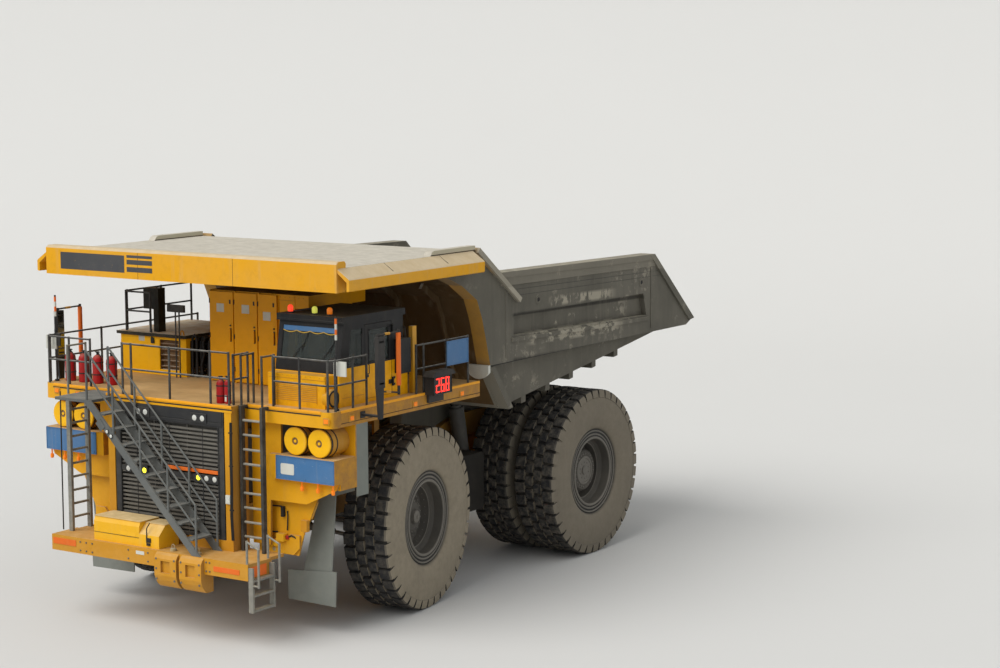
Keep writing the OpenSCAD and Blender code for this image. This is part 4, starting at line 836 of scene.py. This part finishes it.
BUMPER = -4059
TOWS = (520, 1110)
k = Kit("bumper_reflectors", "orange", 3)
k.box((-2340, -4068, 1376), (-1760, BUMPER, 1494))
k.box((1590, -4068, 1338), (2190, BUMPER, 1432))
for side in (1, -1):
    k.box((side * 2379, -3990, 1300), (side * 2388, -3560, 1490))

Kit("bumper_labels", "plate_white", 1).box((-262, -4064, 1424), (-60, BUMPER, 1490))

k = Kit("bumper_bolts", "grey_steel")
for x in (-1650, -1500, -1350, -450, 30, 1420, 1500):
    for z in (1320, 1480):
        k.lathe([(0, 16), (15, 15), (18, 0), (0, 0)], (x, BUMPER, z), FORE, 6)
for x in TOWS:
    for dx in (-215, 215):
        for z in (1060, 1250, 1430):
            k.lathe([(0, 9), (20, 8), (24, 0), (0, 0)], (x + dx, -4149, z), FORE, 6)

k = Kit("tow_pins", "dusty_block")
for x in TOWS:
    k.lathe([(0, 54), (30, 54), (58, 40), (62, 0), (0, 0)], (x, -3920, 1551), UP, 24)
    k.tube([(x - 34, -3920, 1600), (x - 30, -3920, 1650), (x, -3920, 1672), (x + 30, -3920, 1650),
            (x + 34, -3920, 1600)], 9, 8)

BATTERY = -3979
k = Kit("battery_latches", "hose", 3)
k.tube([(-58, -3984, 1600), (-62, -3990, 1700), (-58, -3984, 1905), (-60, -3900, 1985)], 11, 8)
k.box((-70, -3996, 1650), (40, BATTERY, 1730))
k.box((-60, -4002, 1590), (24, BATTERY, 1636))
k.box((-1368, -3987, 1700), (-252, BATTERY, 1708))
Kit("battery_label", "bright_yellow").box((-710, -3984, 1716), (-330, BATTERY, 1786))

k = Kit("battery_lid", "lid_sand", 5)
k.box((-1384, -3960, 1989), (-236, -3440, 2002))
k.box((-244, -3815, 1959), (240, -3440, 1972))

# Cab: seams, seals, wipers, sun strip, door handles, louvres and roof edge

CAB_LEFT = 3250
CAB_RIGHT = 1800


def screen_y(z, out):
    """Place that stands out from the windscreen glass at a height."""
    return -2502 + (z - 4770) / 6 - out


def leaning(z0, z1, out, back):
    """Outline of a strip along the windscreen."""
    return [(screen_y(z, d), z) for z, d in ((z0, out), (z1, out), (z1, back), (z0, back))]


k = Kit("cab_seals", "hose")
for z in (5000, 5590):
    k.box((1885, screen_y(z, 17), z - 9), (3135, screen_y(z, 1), z + 9))
for x in (1890, 3130):
    k.plate(leaning(5000, 5590, 17, 1), 0, x - 9, x + 9)
for x, s in ((CAB_LEFT, 1), (CAB_RIGHT, -1)):
    for y in (-1757, -963):
        k.box((x, y - 4, 4256), (x + s * 3, y + 4, 5596))
    for z in (4898, 5502):
        k.box((x, -1652, z - 8), (x + s * 6, -1046, z + 8))
    for y in (-1652, -1046):
        k.box((x, y - 8, 4898), (x + s * 6, y + 8, 5502))
for x, tip in ((2150, 2420), (2820, 3060)):
    y = screen_y(5010, 16)
    k.rod((x, y - 12, 4975), (x, y + 14, 4975), 20)
    k.tube([(x, y - 10, 4975), (x + 30, y - 2, 5030), (tip, screen_y(5300, 14), 5300)], 6, 8)
    k.tube([(tip - 60, screen_y(5140, 9), 5140), (tip + 50, screen_y(5470, 9), 5470)], 7, 8)

Kit("sun_strip", "blue").plate(leaning(5492, 5584, 7, 2), 0, 1898, 3122)
k = Kit("strip_fringe", "gold")
for i in range(4):
    a = 1898 + 306 * i
    drop = [(a + 306 * j / 10, 5490 - 34 * sin(pi * j / 10)) for j in range(11)]
    k.plate(drop + [(p, z + 14) for p, z in reversed(drop)], 1, screen_y(5480, 10),
            screen_y(5480, 4))
k.box((2050, -2240, 5170), (2100, -2234, 5480))
k.box((2170, -2200, 5180), (2270, -2194, 5480))

k = Kit("cab_handles", "lamp_body", 3)
for x, s in ((CAB_LEFT, 1), (CAB_RIGHT, -1)):
    k.tube([(x, -1690, 4700), (x + s * 40, -1690, 4712), (x + s * 40, -1690, 4868),
            (x, -1690, 4880)], 9, 8)
    k.box((x, -1712, 4640), (x + s * 16, -1668, 4690))
for y in (-1900, -600):
    k.tube([(CAB_LEFT, y, 4900), (3292, y, 4912), (3292, y, 5430), (CAB_LEFT, y, 5442)], 11, 8)
k.box((1790, -2434, 5700), (3274, -2426, 5712))
for x in (1830, 2200, 2570, 2940, 3230):
    k.bolts([(x, -2430, 5735)], FORE, 9)

LOUVRES = -2799
k = Kit("cab_louvres", "deep_yellow", 2)
for i in range(9):
    z = 4300 + 34 * i
    k.box((1990, -2812, z), (2960, LOUVRES, z + 13), -0.5, "X", (2500, -2805, z))
for x in (1980, 2968):
    k.box((x - 10, -2812, 4275), (x + 10, LOUVRES, 4610))
k.box((1862, -2806, 4690), (3148, LOUVRES, 4700))
k.bolts([(1880 + 105 * i, LOUVRES, 4740) for i in range(13)], FORE, 9)
k.box((3249, -2440, 4340), (3256, -1790, 4352))
k.box((3249, -2112, 4200), (3256, -2104, 4766))

DRUM = (3150, -2660, 4370)
k = Kit("cab_base_drum", "paint")
k.lathe([(0, -70), (150, -70), (170, -50), (172, 60), (150, 84), (0, 84)], DRUM, LEFT)
k = Kit("base_drum_ring", "hose")
k.lathe([(118, 84), (150, 84), (154, 92), (150, 98), (118, 98)], DRUM, LEFT, close=True)

# Control cabinet: blank labels, hinges, latches and seams

CABINET = -1129
LEAVES = [(-935, -325), (-325, 264), (264, 745)]
k = Kit("cabinet_labels", "plate_white", 1)
for x, z in ((-647, 5617), (-22, 5621), (500, 5519)):
    k.box((x - 92, -1181, z - 82), (x + 92, -1177, z + 82))
k.box((-2830, -1114, 4830), (-2680, -1109, 5000))
for i, (a, b) in enumerate(LEAVES, 1):
    k = Kit("leaf_gear_%d" % i, "lamp_body", 2, "cabinet_door_%d" % i)
    for z in (4460, 5080, 5740):
        k.rod((a + 20, -1180, z - 45), (a + 20, -1180, z + 45), 11, 10)
    k.box((b - 84, -1190, 4980), (b - 50, -1178, 5240))
    k.rod((b - 67, -1186, 5290), (b - 67, -1198, 5290), 17)
    k.box((b - 100, -1181, 5700), (b - 62, -1177, 5780))
k = Kit("cabinet_frame", "deep_yellow")
k.box((760, -1136, 5835), (1140, CABINET, 5845))
k.box((1143, -1136, 4200), (1150, CABINET, 5945))
k.box((770, -1134, 4420), (780, CABINET, 5800))
k.box((-935, -1150, 4194), (1149, CABINET, 4212))
k.bolts([(800 + 110 * i, -1130, 5900) for i in range(6)], FORE, 9)

# Mirrors: glass, orange sleeves, yellow bands; tape and plate on the whip pole

glass = Kit("mirror_glass", "mirror", 2)
sleeve = Kit("mirror_sleeves", "orange", 2)
band = Kit("arm_bands", "paint", 2)
clamp = Kit("mirror_clamps", "lamp_body", 2)
plate = Kit("pole_plates", "plate_white", 2)
tape = Kit("pole_tape", "orange", 2)
for s in (-1, 1):
    glass.box((s * 3866, -2278, 4600), (s * 3870, -2112, 5430))
    sleeve.lathe([(0, 0), (38, 0), (44, 12), (44, 938), (38, 950), (0, 950)],
                 (s * 3900, -1630, 4540), UP, 20)
    for y, z in ((-1960, 5501), (-1950, 4461)):
        band.lathe([(0, -70), (21, -70), (23, -60), (23, 60), (21, 70), (0, 70)],
                   (s * 3900, y, z), (0, 1, 0.01 if z > 5000 else -0.15), 16)
    for z in (4640, 5380):
        clamp.box((s * 3860, -2262, z - 16), (s * 3950, -2128, z + 16))
    clamp.box((s * 3500, -2250, 3990), (s * 3512, -2110, 4110))
    pole = (s * 3405, -2790)
    clamp.rod((*pole, 4192), (*pole, 4226), 44, 16)
    clamp.rod((*pole, 5130), (*pole, 5190), 30, 16)
    plate.box((s * 3368, -2827, 4812), (s * 3640, -2798, 5074))
    for i in range(4):
        z = 5440 + 95 * i
        (tape if i % 2 else plate).rod((*pole, z), (*pole, z + 95), 22, 16)

# Payload display: dark face with three lit figures, under its hood

DISPLAY = 3698
k = Kit("display_face", "lamp_body", 3)
k.box((DISPLAY, -268, 4176), (3705, 268, 4482))
for z in (4158, 4484):
    k.box((DISPLAY, -288, z), (3716, 288, z + 14))
for y in (-288, 274):
    k.box((DISPLAY, y, 4158), (3716, y + 14, 4498))
k.box((3560, -296, 4220), (3640, -289, 4430))
k = Kit("display_figures", "lit_figures")
STROKES = {"a": (0, 238, 110, 262), "b": (86, 130, 110, 262), "c": (86, 0, 110, 132),
           "d": (0, 0, 110, 24), "e": (0, 0, 24, 132), "f": (0, 130, 24, 262),
           "g": (0, 119, 110, 143)}
for i, marks in enumerate(("abged", "acdefg", "abcdefg")):
    for m in marks:
        y0, z0, y1, z1 = STROKES[m]
        k.box((3704, -215 + 152 * i + y0, 4198 + z0), (3709, -215 + 152 * i + y1, 4198 + z1))

# Blue board on the side rail: edge and bolts
k = Kit("side_board_trim", "blue")
for z in (4605, 5060):
    k.box((3460, 475, z - 5), (3478, 1165, z + 5))
for y in (475, 1165):
    k.box((3460, y - 5, 4605), (3478, y + 5, 5060))
k.bolts([(3472, y, z) for y in (520, 1120) for z in (4640, 5025)], LEFT, 12)

# Extinguishers: domed bottles, valves, hoses and labels

DECK = 4190
bottle = Kit("extinguisher_bottles", "red")
valve = Kit("extinguisher_valves", "lamp_body")
label = Kit("extinguisher_labels", "plate_white")
BOTTLES = [(x, -2600, 105, 550) for x in (-3230, -2870, -2510, -2150)]
BOTTLES += [(1090, -3200, 80, 430), (1236, -3180, 62, 440)]
for x, y, r, h in BOTTLES:
    bottle.lathe([(0, 0), (r * 0.9, 0), (r, 12), (r, h * 0.8), (r * 0.93, h * 0.88),
                  (r * 0.7, h * 0.95), (r * 0.35, h), (0, h)], (x, y, DECK), UP, 32)
    valve.lathe([(0, -4), (24, -4), (24, 34), (34, 40), (34, 62), (0, 66)], (x, y, DECK + h),
                UP, 14)
    valve.box((x - 52, y - 12, 4236 + h), (x + 52, y + 12, 4250 + h))
    valve.tube([(x + 40, y - 10, 4220 + h), (x + r + 14, y - 20, 4150 + h),
                (x + r + 16, y - 10, DECK + h * 0.45), (x + r + 6, y, DECK + h * 0.2)], 9, 8)
    for z in (0.3, 0.72):
        valve.lathe([(r, 0), (r + 4, 0), (r + 4, 22), (r, 22)], (x, y, DECK + h * z), UP, 32,
                    True)
a = [radians(250 + 8 * i) for i in range(6)]
for x, y, r in ((1236, -3180, 62), (-2150, -2600, 105)):
    arc = [(x + (r + 2) * cos(t), y + (r + 2) * sin(t)) for t in a]
    back = [(x + (r - 6) * cos(t), y + (r - 6) * sin(t)) for t in reversed(a)]
    label.plate(arc + back, 2, 4235, 4350)
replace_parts(bottle.done(), "extinguishers")

# Deck edges: an orange lip along the top and a dark line under it

lip = Kit("deck_lips", "lip", 8)
line = Kit("deck_edge_lines", "hose")
for a, b, y in ((-1525, 1525, -3420), (1530, 3250, -3050), (-3250, -1530, -3050)):
    lip.box((a, y - 9, 4150), (b, y + 26, 4198))
    line.box((a, y - 5, 4112), (b, y + 1, 4134))
for s in (-1, 1):
    lip.box((s * 3476, -2800, 4150), (s * 3508, 1508, 4198))
    line.box((s * 3499, -2800, 3962), (s * 3505, 1508, 3972))

# Rims: beads and steps of the ring, painted shade in its grooves, bolts, hub cap and valve

def rim_trim(name, body, place, side, bolt_rings, cap):
    """Trim of one wheel, built about its middle and set on its place."""
    k = Kit("rim_trim_" + name, "rim_bead", 0, body, 40)
    gap = Kit("rim_gap_shade_" + name, "rim_gap_shade", 0, body, 40)
    o = (0, 0, 0)
    out = (side, 0, 0)
    for r, u, w, h in ((848, 378, 16, 20), (778, 378, 14, 12), (706, 378, 24, 18), (590, 128, 12, 8)):
        k.lathe([(r - w, u), (r - w * 0.6, u + h), (r + w * 0.6, u + h), (r + w, u)], o, out, 96)
    # Dark rings in the grooves and at the tyre's edge: painted shade
    for r, u, w in ((876, 381, 7), (814, 381, 15), (744, 381, 9)):
        gap.lathe([(r - w, u - 2), (r - w, u + 1), (r + w, u + 1), (r + w, u - 2)], o, out, 96)
    for r, u, count, size in bolt_rings:
        for i in range(count):
            a = 2 * pi * (i + 0.5) / count
            spot = (side * u, r * cos(a), r * sin(a))
            k.lathe([(0, size), (size * 0.9, size), (size, 0)], spot, out, 6)
    k.lathe(cap, o, out, 48)
    k.rod((side * 200, 0, 660), (side * 330, 0, 690), 9)
    for kit in (k, gap):
        kit.bm.transform(place @ Matrix.Translation((0, -AXLE, 0)))


FRONT = (((480, -47, 32, 20), (290, 88, 16, 17), (575, 44, 24, 12)),
         [(120, 150), (120, 176), (104, 190), (40, 196), (38, 212), (0, 214)])
REAR = (((478, -90, 36, 20), (352, 175, 24, 17), (170, 182, 10, 14)),
        [(300, 174), (296, 190), (250, 196), (244, 182), (96, 182), (92, 204), (70, 216), (0, 218)])
for word, side in SIDES:
    rim_trim("front_" + word, "wheel_front_" + word, front_place(side), side, *FRONT)
for word, side in SIDES:
    rim_trim("rear_" + word, "wheels_rear_" + word, rear_place(side * REAR_WHEELS[0]), side, *REAR)

# Air cleaners: turned covers with a nut, clamp bands

cover = Kit("cleaner_covers", "bright_yellow", angle=30)
cup = Kit("cleaner_cups", "louvre_brown")
hoop = Kit("cleaner_bands", "lamp_body")
for x in (-3120, -2580, 2580, 3120):
    spot = (x, -2930, 3600)
    cover.lathe([(252, -4), (252, 14), (240, 24), (80, 28), (70, 25), (66, 4), (30, 4), (27, 22),
                 (0, 24)], spot, FORE, 56)
    cup.lathe([(65, 5), (64, 9), (28, 9), (27, 5)], spot, FORE, 32, True)
    for y in (-2900, -2760):
        hoop.lathe([(254, 0), (261, 0), (261, 26), (254, 26)], (x, y, 3600), (0, 1, 0), 56, True)
    hoop.box((x - 18, -2904, 3856), (x + 18, -2870, 3884))

# Grid box: hoses in the open bay, lifting eye, switch box, dark ducts

k = Kit("bay_hoses", "hose", angle=50)
HOSES = ((-1500, -930, 30), (-1420, -880, 38), (-1330, -940, 26), (-1240, -860, 34),
         (-1150, -900, 28), (-1080, -830, 24))
for i, (x, y, r) in enumerate(HOSES):
    sway = 40 * sin(2.1 * i)
    k.tube([(x, y, 4194), (x + sway, y, 4420), (x - sway * 0.5, y + 30, 4640), (x, y + 20, 4860),
            (x - 40, y + 120, 4925), (x - 60, y + 260, 4935)], r)
k = Kit("bay_loop", "hose", angle=50)
k.tube([(-1530, -1010, 4196), (-1520, -1010, 4900), (-1505, -1010, 4985), (-1465, -1010, 5020),
        (-1425, -1010, 4985), (-1412, -1010, 4900), (-1405, -1010, 4196)], 24)
k = Kit("bay_pipes", "black_steel", 4)
for x, z in ((-1600, 4350), (-1600, 4560), (-1600, 4790)):
    k.rod((x, -600, z), (-1010, -600, z), 34)
k.box((-1360, -700, 4192), (-1120, -420, 4420))
k = Kit("lifting_eye", "deep_yellow", angle=50)
k.tube([(-1700, -1140, 4935), (-1708, -1140, 5030), (-1690, -1140, 5085), (-1664, -1140, 5102),
        (-1638, -1140, 5085), (-1620, -1140, 5030), (-1628, -1140, 4935)], 14)
k = Kit("grid_switch", "lamp_body", 4)
k.box((-2500, -1136, 4800), (-2420, -1098, 4910))
k.rod((-2460, -1140, 4905), (-2460, -1140, 5080), 12)
k.box((-3300, -1116, 4930), (-2480, -1098, 5012))
k = Kit("grid_strips", "lip")
for z in (4560, 4760):
    k.box((-3318, -1104, z), (-3150, -1098, z + 60))

# Fender: hook and its line, boxes, hoses, blank label and brace beside the left ladder

k = Kit("fender_lines", "hose", 8)
k.tube([(1770, -2738, 2318), (1960, -2742, 2330), (2090, -2745, 2335)], 13)
k.tube([(2212, -2745, 2268), (2222, -2750, 2160), (2216, -2752, 2020), (2200, -2745, 1905)], 12)
k.box((2088, -2790, 2150), (2150, -2722, 2340))
k.tube([(2250, -2770, 1800), (2320, -2772, 1824), (2390, -2766, 1806), (2430, -2745, 1760)], 17)
k.tube([(1790, -2750, 1880), (1880, -2762, 1850), (1990, -2756, 1862)], 14)
k = Kit("fender_boxes", "bright_yellow", 8)
k.box((2014, -2850, 1712), (2190, -2722, 1852))
k.box((1830, -2800, 1600), (2012, -2722, 1700))
k = Kit("fender_drain_box", "deep_yellow", 8)
k.box((2560, -2812, 1936), (2700, -2722, 2146))
k.rod((2630, -2790, 1936), (2630, -2790, 1880), 16)
Kit("fender_tap", "red", 12).box((2196, -2800, 1750), (2262, -2722, 1822))
k = Kit("fender_fitting", "dusty_block")
k.lathe([(0, 60), (34, 56), (58, 30), (66, 0), (0, 0)], (1909, -2722, 1542), FORE, 24)
Kit("fender_label", "plate_white").box((2230, -2727, 1618), (2316, -2721, 1658))
Kit("fender_stay", "dusty_yellow").rod((2880, -2700, 2488), (2735, -2700, 2166), 13)
Kit("fender_brace", "black_steel").rod((2030, -2735, 3780), (1790, -2735, 3400), 30, 8)

# Right ladder's guide rod, and the lamps under the stairs
k = Kit("ladder_guide", "black_steel")
k.tube([(-2420, -3700, 4188), (-2420, -3706, 3300), (-2436, -3700, 1560)], 13)
k = Kit("stair_box", "tread_grey", 5)
k.box((-1150, -4076, 3650), (-960, -4058, 3790), 0.86, "Y", (-1055, -4066, 3720))
lamp_kit("stair_lamps", "lamp", [(-891, -4060, 3613), (-794, -4060, 3538)], 40, 18)

# Bed sides: lifting bosses and the two seams under the rail

for word, side in SIDES:
    k = Kit("bed_bosses_" + word, "bed_steel", 0, "bed", angle=40)
    pin = Kit("bed_boss_holes_" + word, "hose", 0, "bed")
    seam = Kit("bed_seams_" + word, "seam", 0, "bed")
    for y, z in ((3660, 5551), (7729, 5540)):
        k.lathe([(104, 0), (100, 10), (86, 14), (52, 14), (46, 4), (0, 4)], (side * 3449, y, z),
                (side, 0, 0), 32)
        pin.lathe([(44, 3), (40, 7), (0, 8)], (side * 3449, y, z), (side, 0, 0), 20)
    for a, b in (((2880, 5834), (8500, 5738)), ((2960, 5711), (8500, 5636))):
        seam.plate([a, b, (b[0], b[1] - 8), (a[0], a[1] - 8)], 0, side * 3447, side * 3453)
    # Dark strip under the step on the inset plate: painted shadow
    k = Kit("bed_shadow_" + word, "hose", 0, "bed")
    k.plate([(2130, 4429), (8350, 4429), (8250, 4372), (2130, 4352)], 0, side * 3198, side * 3207)
    k = Kit("bed_lip_" + word, "plate_white", 4, "bed")
    shape = [(2985, 4262), (3050, 4212), (3140, 4176), (3230, 4166), (3320, 4190), (3400, 4240),
             (3446, 4290), (3446, 4436), (2985, 4436)]
    k.plate([(side * a, z) for a, z in shape], 1, 1886, 1960)
    k.tube([(side * a, 1884, z) for a, z in shape[:7]], 9)

# Inside the cab, seen through the windscreen: door posts, pad and folded papers

k = Kit("cab_posts", "gold", 6)
k.box((2060, -1420, 5000), (2150, -1390, 5330))
k.box((2330, -1420, 5020), (2480, -1390, 5330))
k = Kit("cab_papers", "plate_white")
k.box((2860, -2330, 4985), (3060, -2200, 4997), 0.2, "Z", (2960, -2265, 4990))


for kit in list(KITS):
    kit.done()

# Floor, light and camera

FLOOR_COL = srgb(206, 205, 202)
YAW = 0.5905
BEND_AT = 30
BEND = 45
WALL_TOP = 120
t = Tree("pale_floor")
floor_material = t.finish(t.mix(t.noise(0.15, 3, 0.5), shade(FLOOR_COL, 0.985), FLOOR_COL), 0.9)
lift = [(-80, 0), (BEND_AT, 0)]
for i in range(1, 17):
    a = radians(90 * i / 16)
    lift.append((BEND_AT + BEND * sin(a), BEND - BEND * cos(a)))
lift.append((BEND_AT + BEND, WALL_TOP))
floor_mesh = bpy.data.meshes.new("pale_floor")
floor_mesh.from_pydata([(x, y, z) for y, z in lift for x in (-160, 160)], [],
                       [(i, i + 1, i + 3, i + 2) for i in range(0, 2 * len(lift) - 2, 2)])
floor_mesh.materials.append(floor_material)
floor_mesh.shade_smooth()
floor = add_object("pale_floor", floor_mesh)
floor.rotation_euler = (0, 0, YAW)

world = bpy.data.worlds.new("soft_sky")
scene.world = world
world.use_nodes = True
sky = world.node_tree.nodes["Background"]
sky.inputs[0].default_value = (0.93, 0.965, 1.0, 1)
sky.inputs[1].default_value = 0.57


def sun(name, azimuth, height, strength, spread, color=(1, 1, 1)):
    """Soft far light from an azimuth (0 is from the front, 90 from the truck's left)."""
    lamp = bpy.data.lights.new(name, "SUN")
    lamp.energy = strength
    lamp.angle = radians(spread)
    lamp.color = color
    obj = add_object(name, lamp)
    a = radians(azimuth)
    e = radians(height)
    way = Vector((sin(a) * cos(e), -cos(a) * cos(e), sin(e)))
    obj.rotation_euler = way.to_track_quat("Z", "Y").to_euler()


sun("key", -20, 50, 2.5, 55, (1, 0.985, 0.96))
sun("fill", 95, 30, 0.1, 60)

# Camera fitted to the photograph: focal length and width in pixels, angles in radians
FOCAL = 2198.11
PHOTO_WIDTH = 1000
PITCH = 0.1252
ROLL = -0.0045
PLACE = (26.9804, -32.817 + AXLE, 10.3281)
cam_data = bpy.data.cameras.new("view")
cam_data.sensor_width = 36
cam_data.lens = FOCAL * cam_data.sensor_width / PHOTO_WIDTH
cam_data.clip_end = 1000
cam = add_object("view", cam_data)
cam.matrix_world = (Matrix.Translation(PLACE) @ Matrix.Rotation(YAW, 4, "Z")
                    @ Matrix.Rotation(pi / 2 - PITCH, 4, "X") @ Matrix.Rotation(ROLL, 4, "Z"))
scene.camera = cam
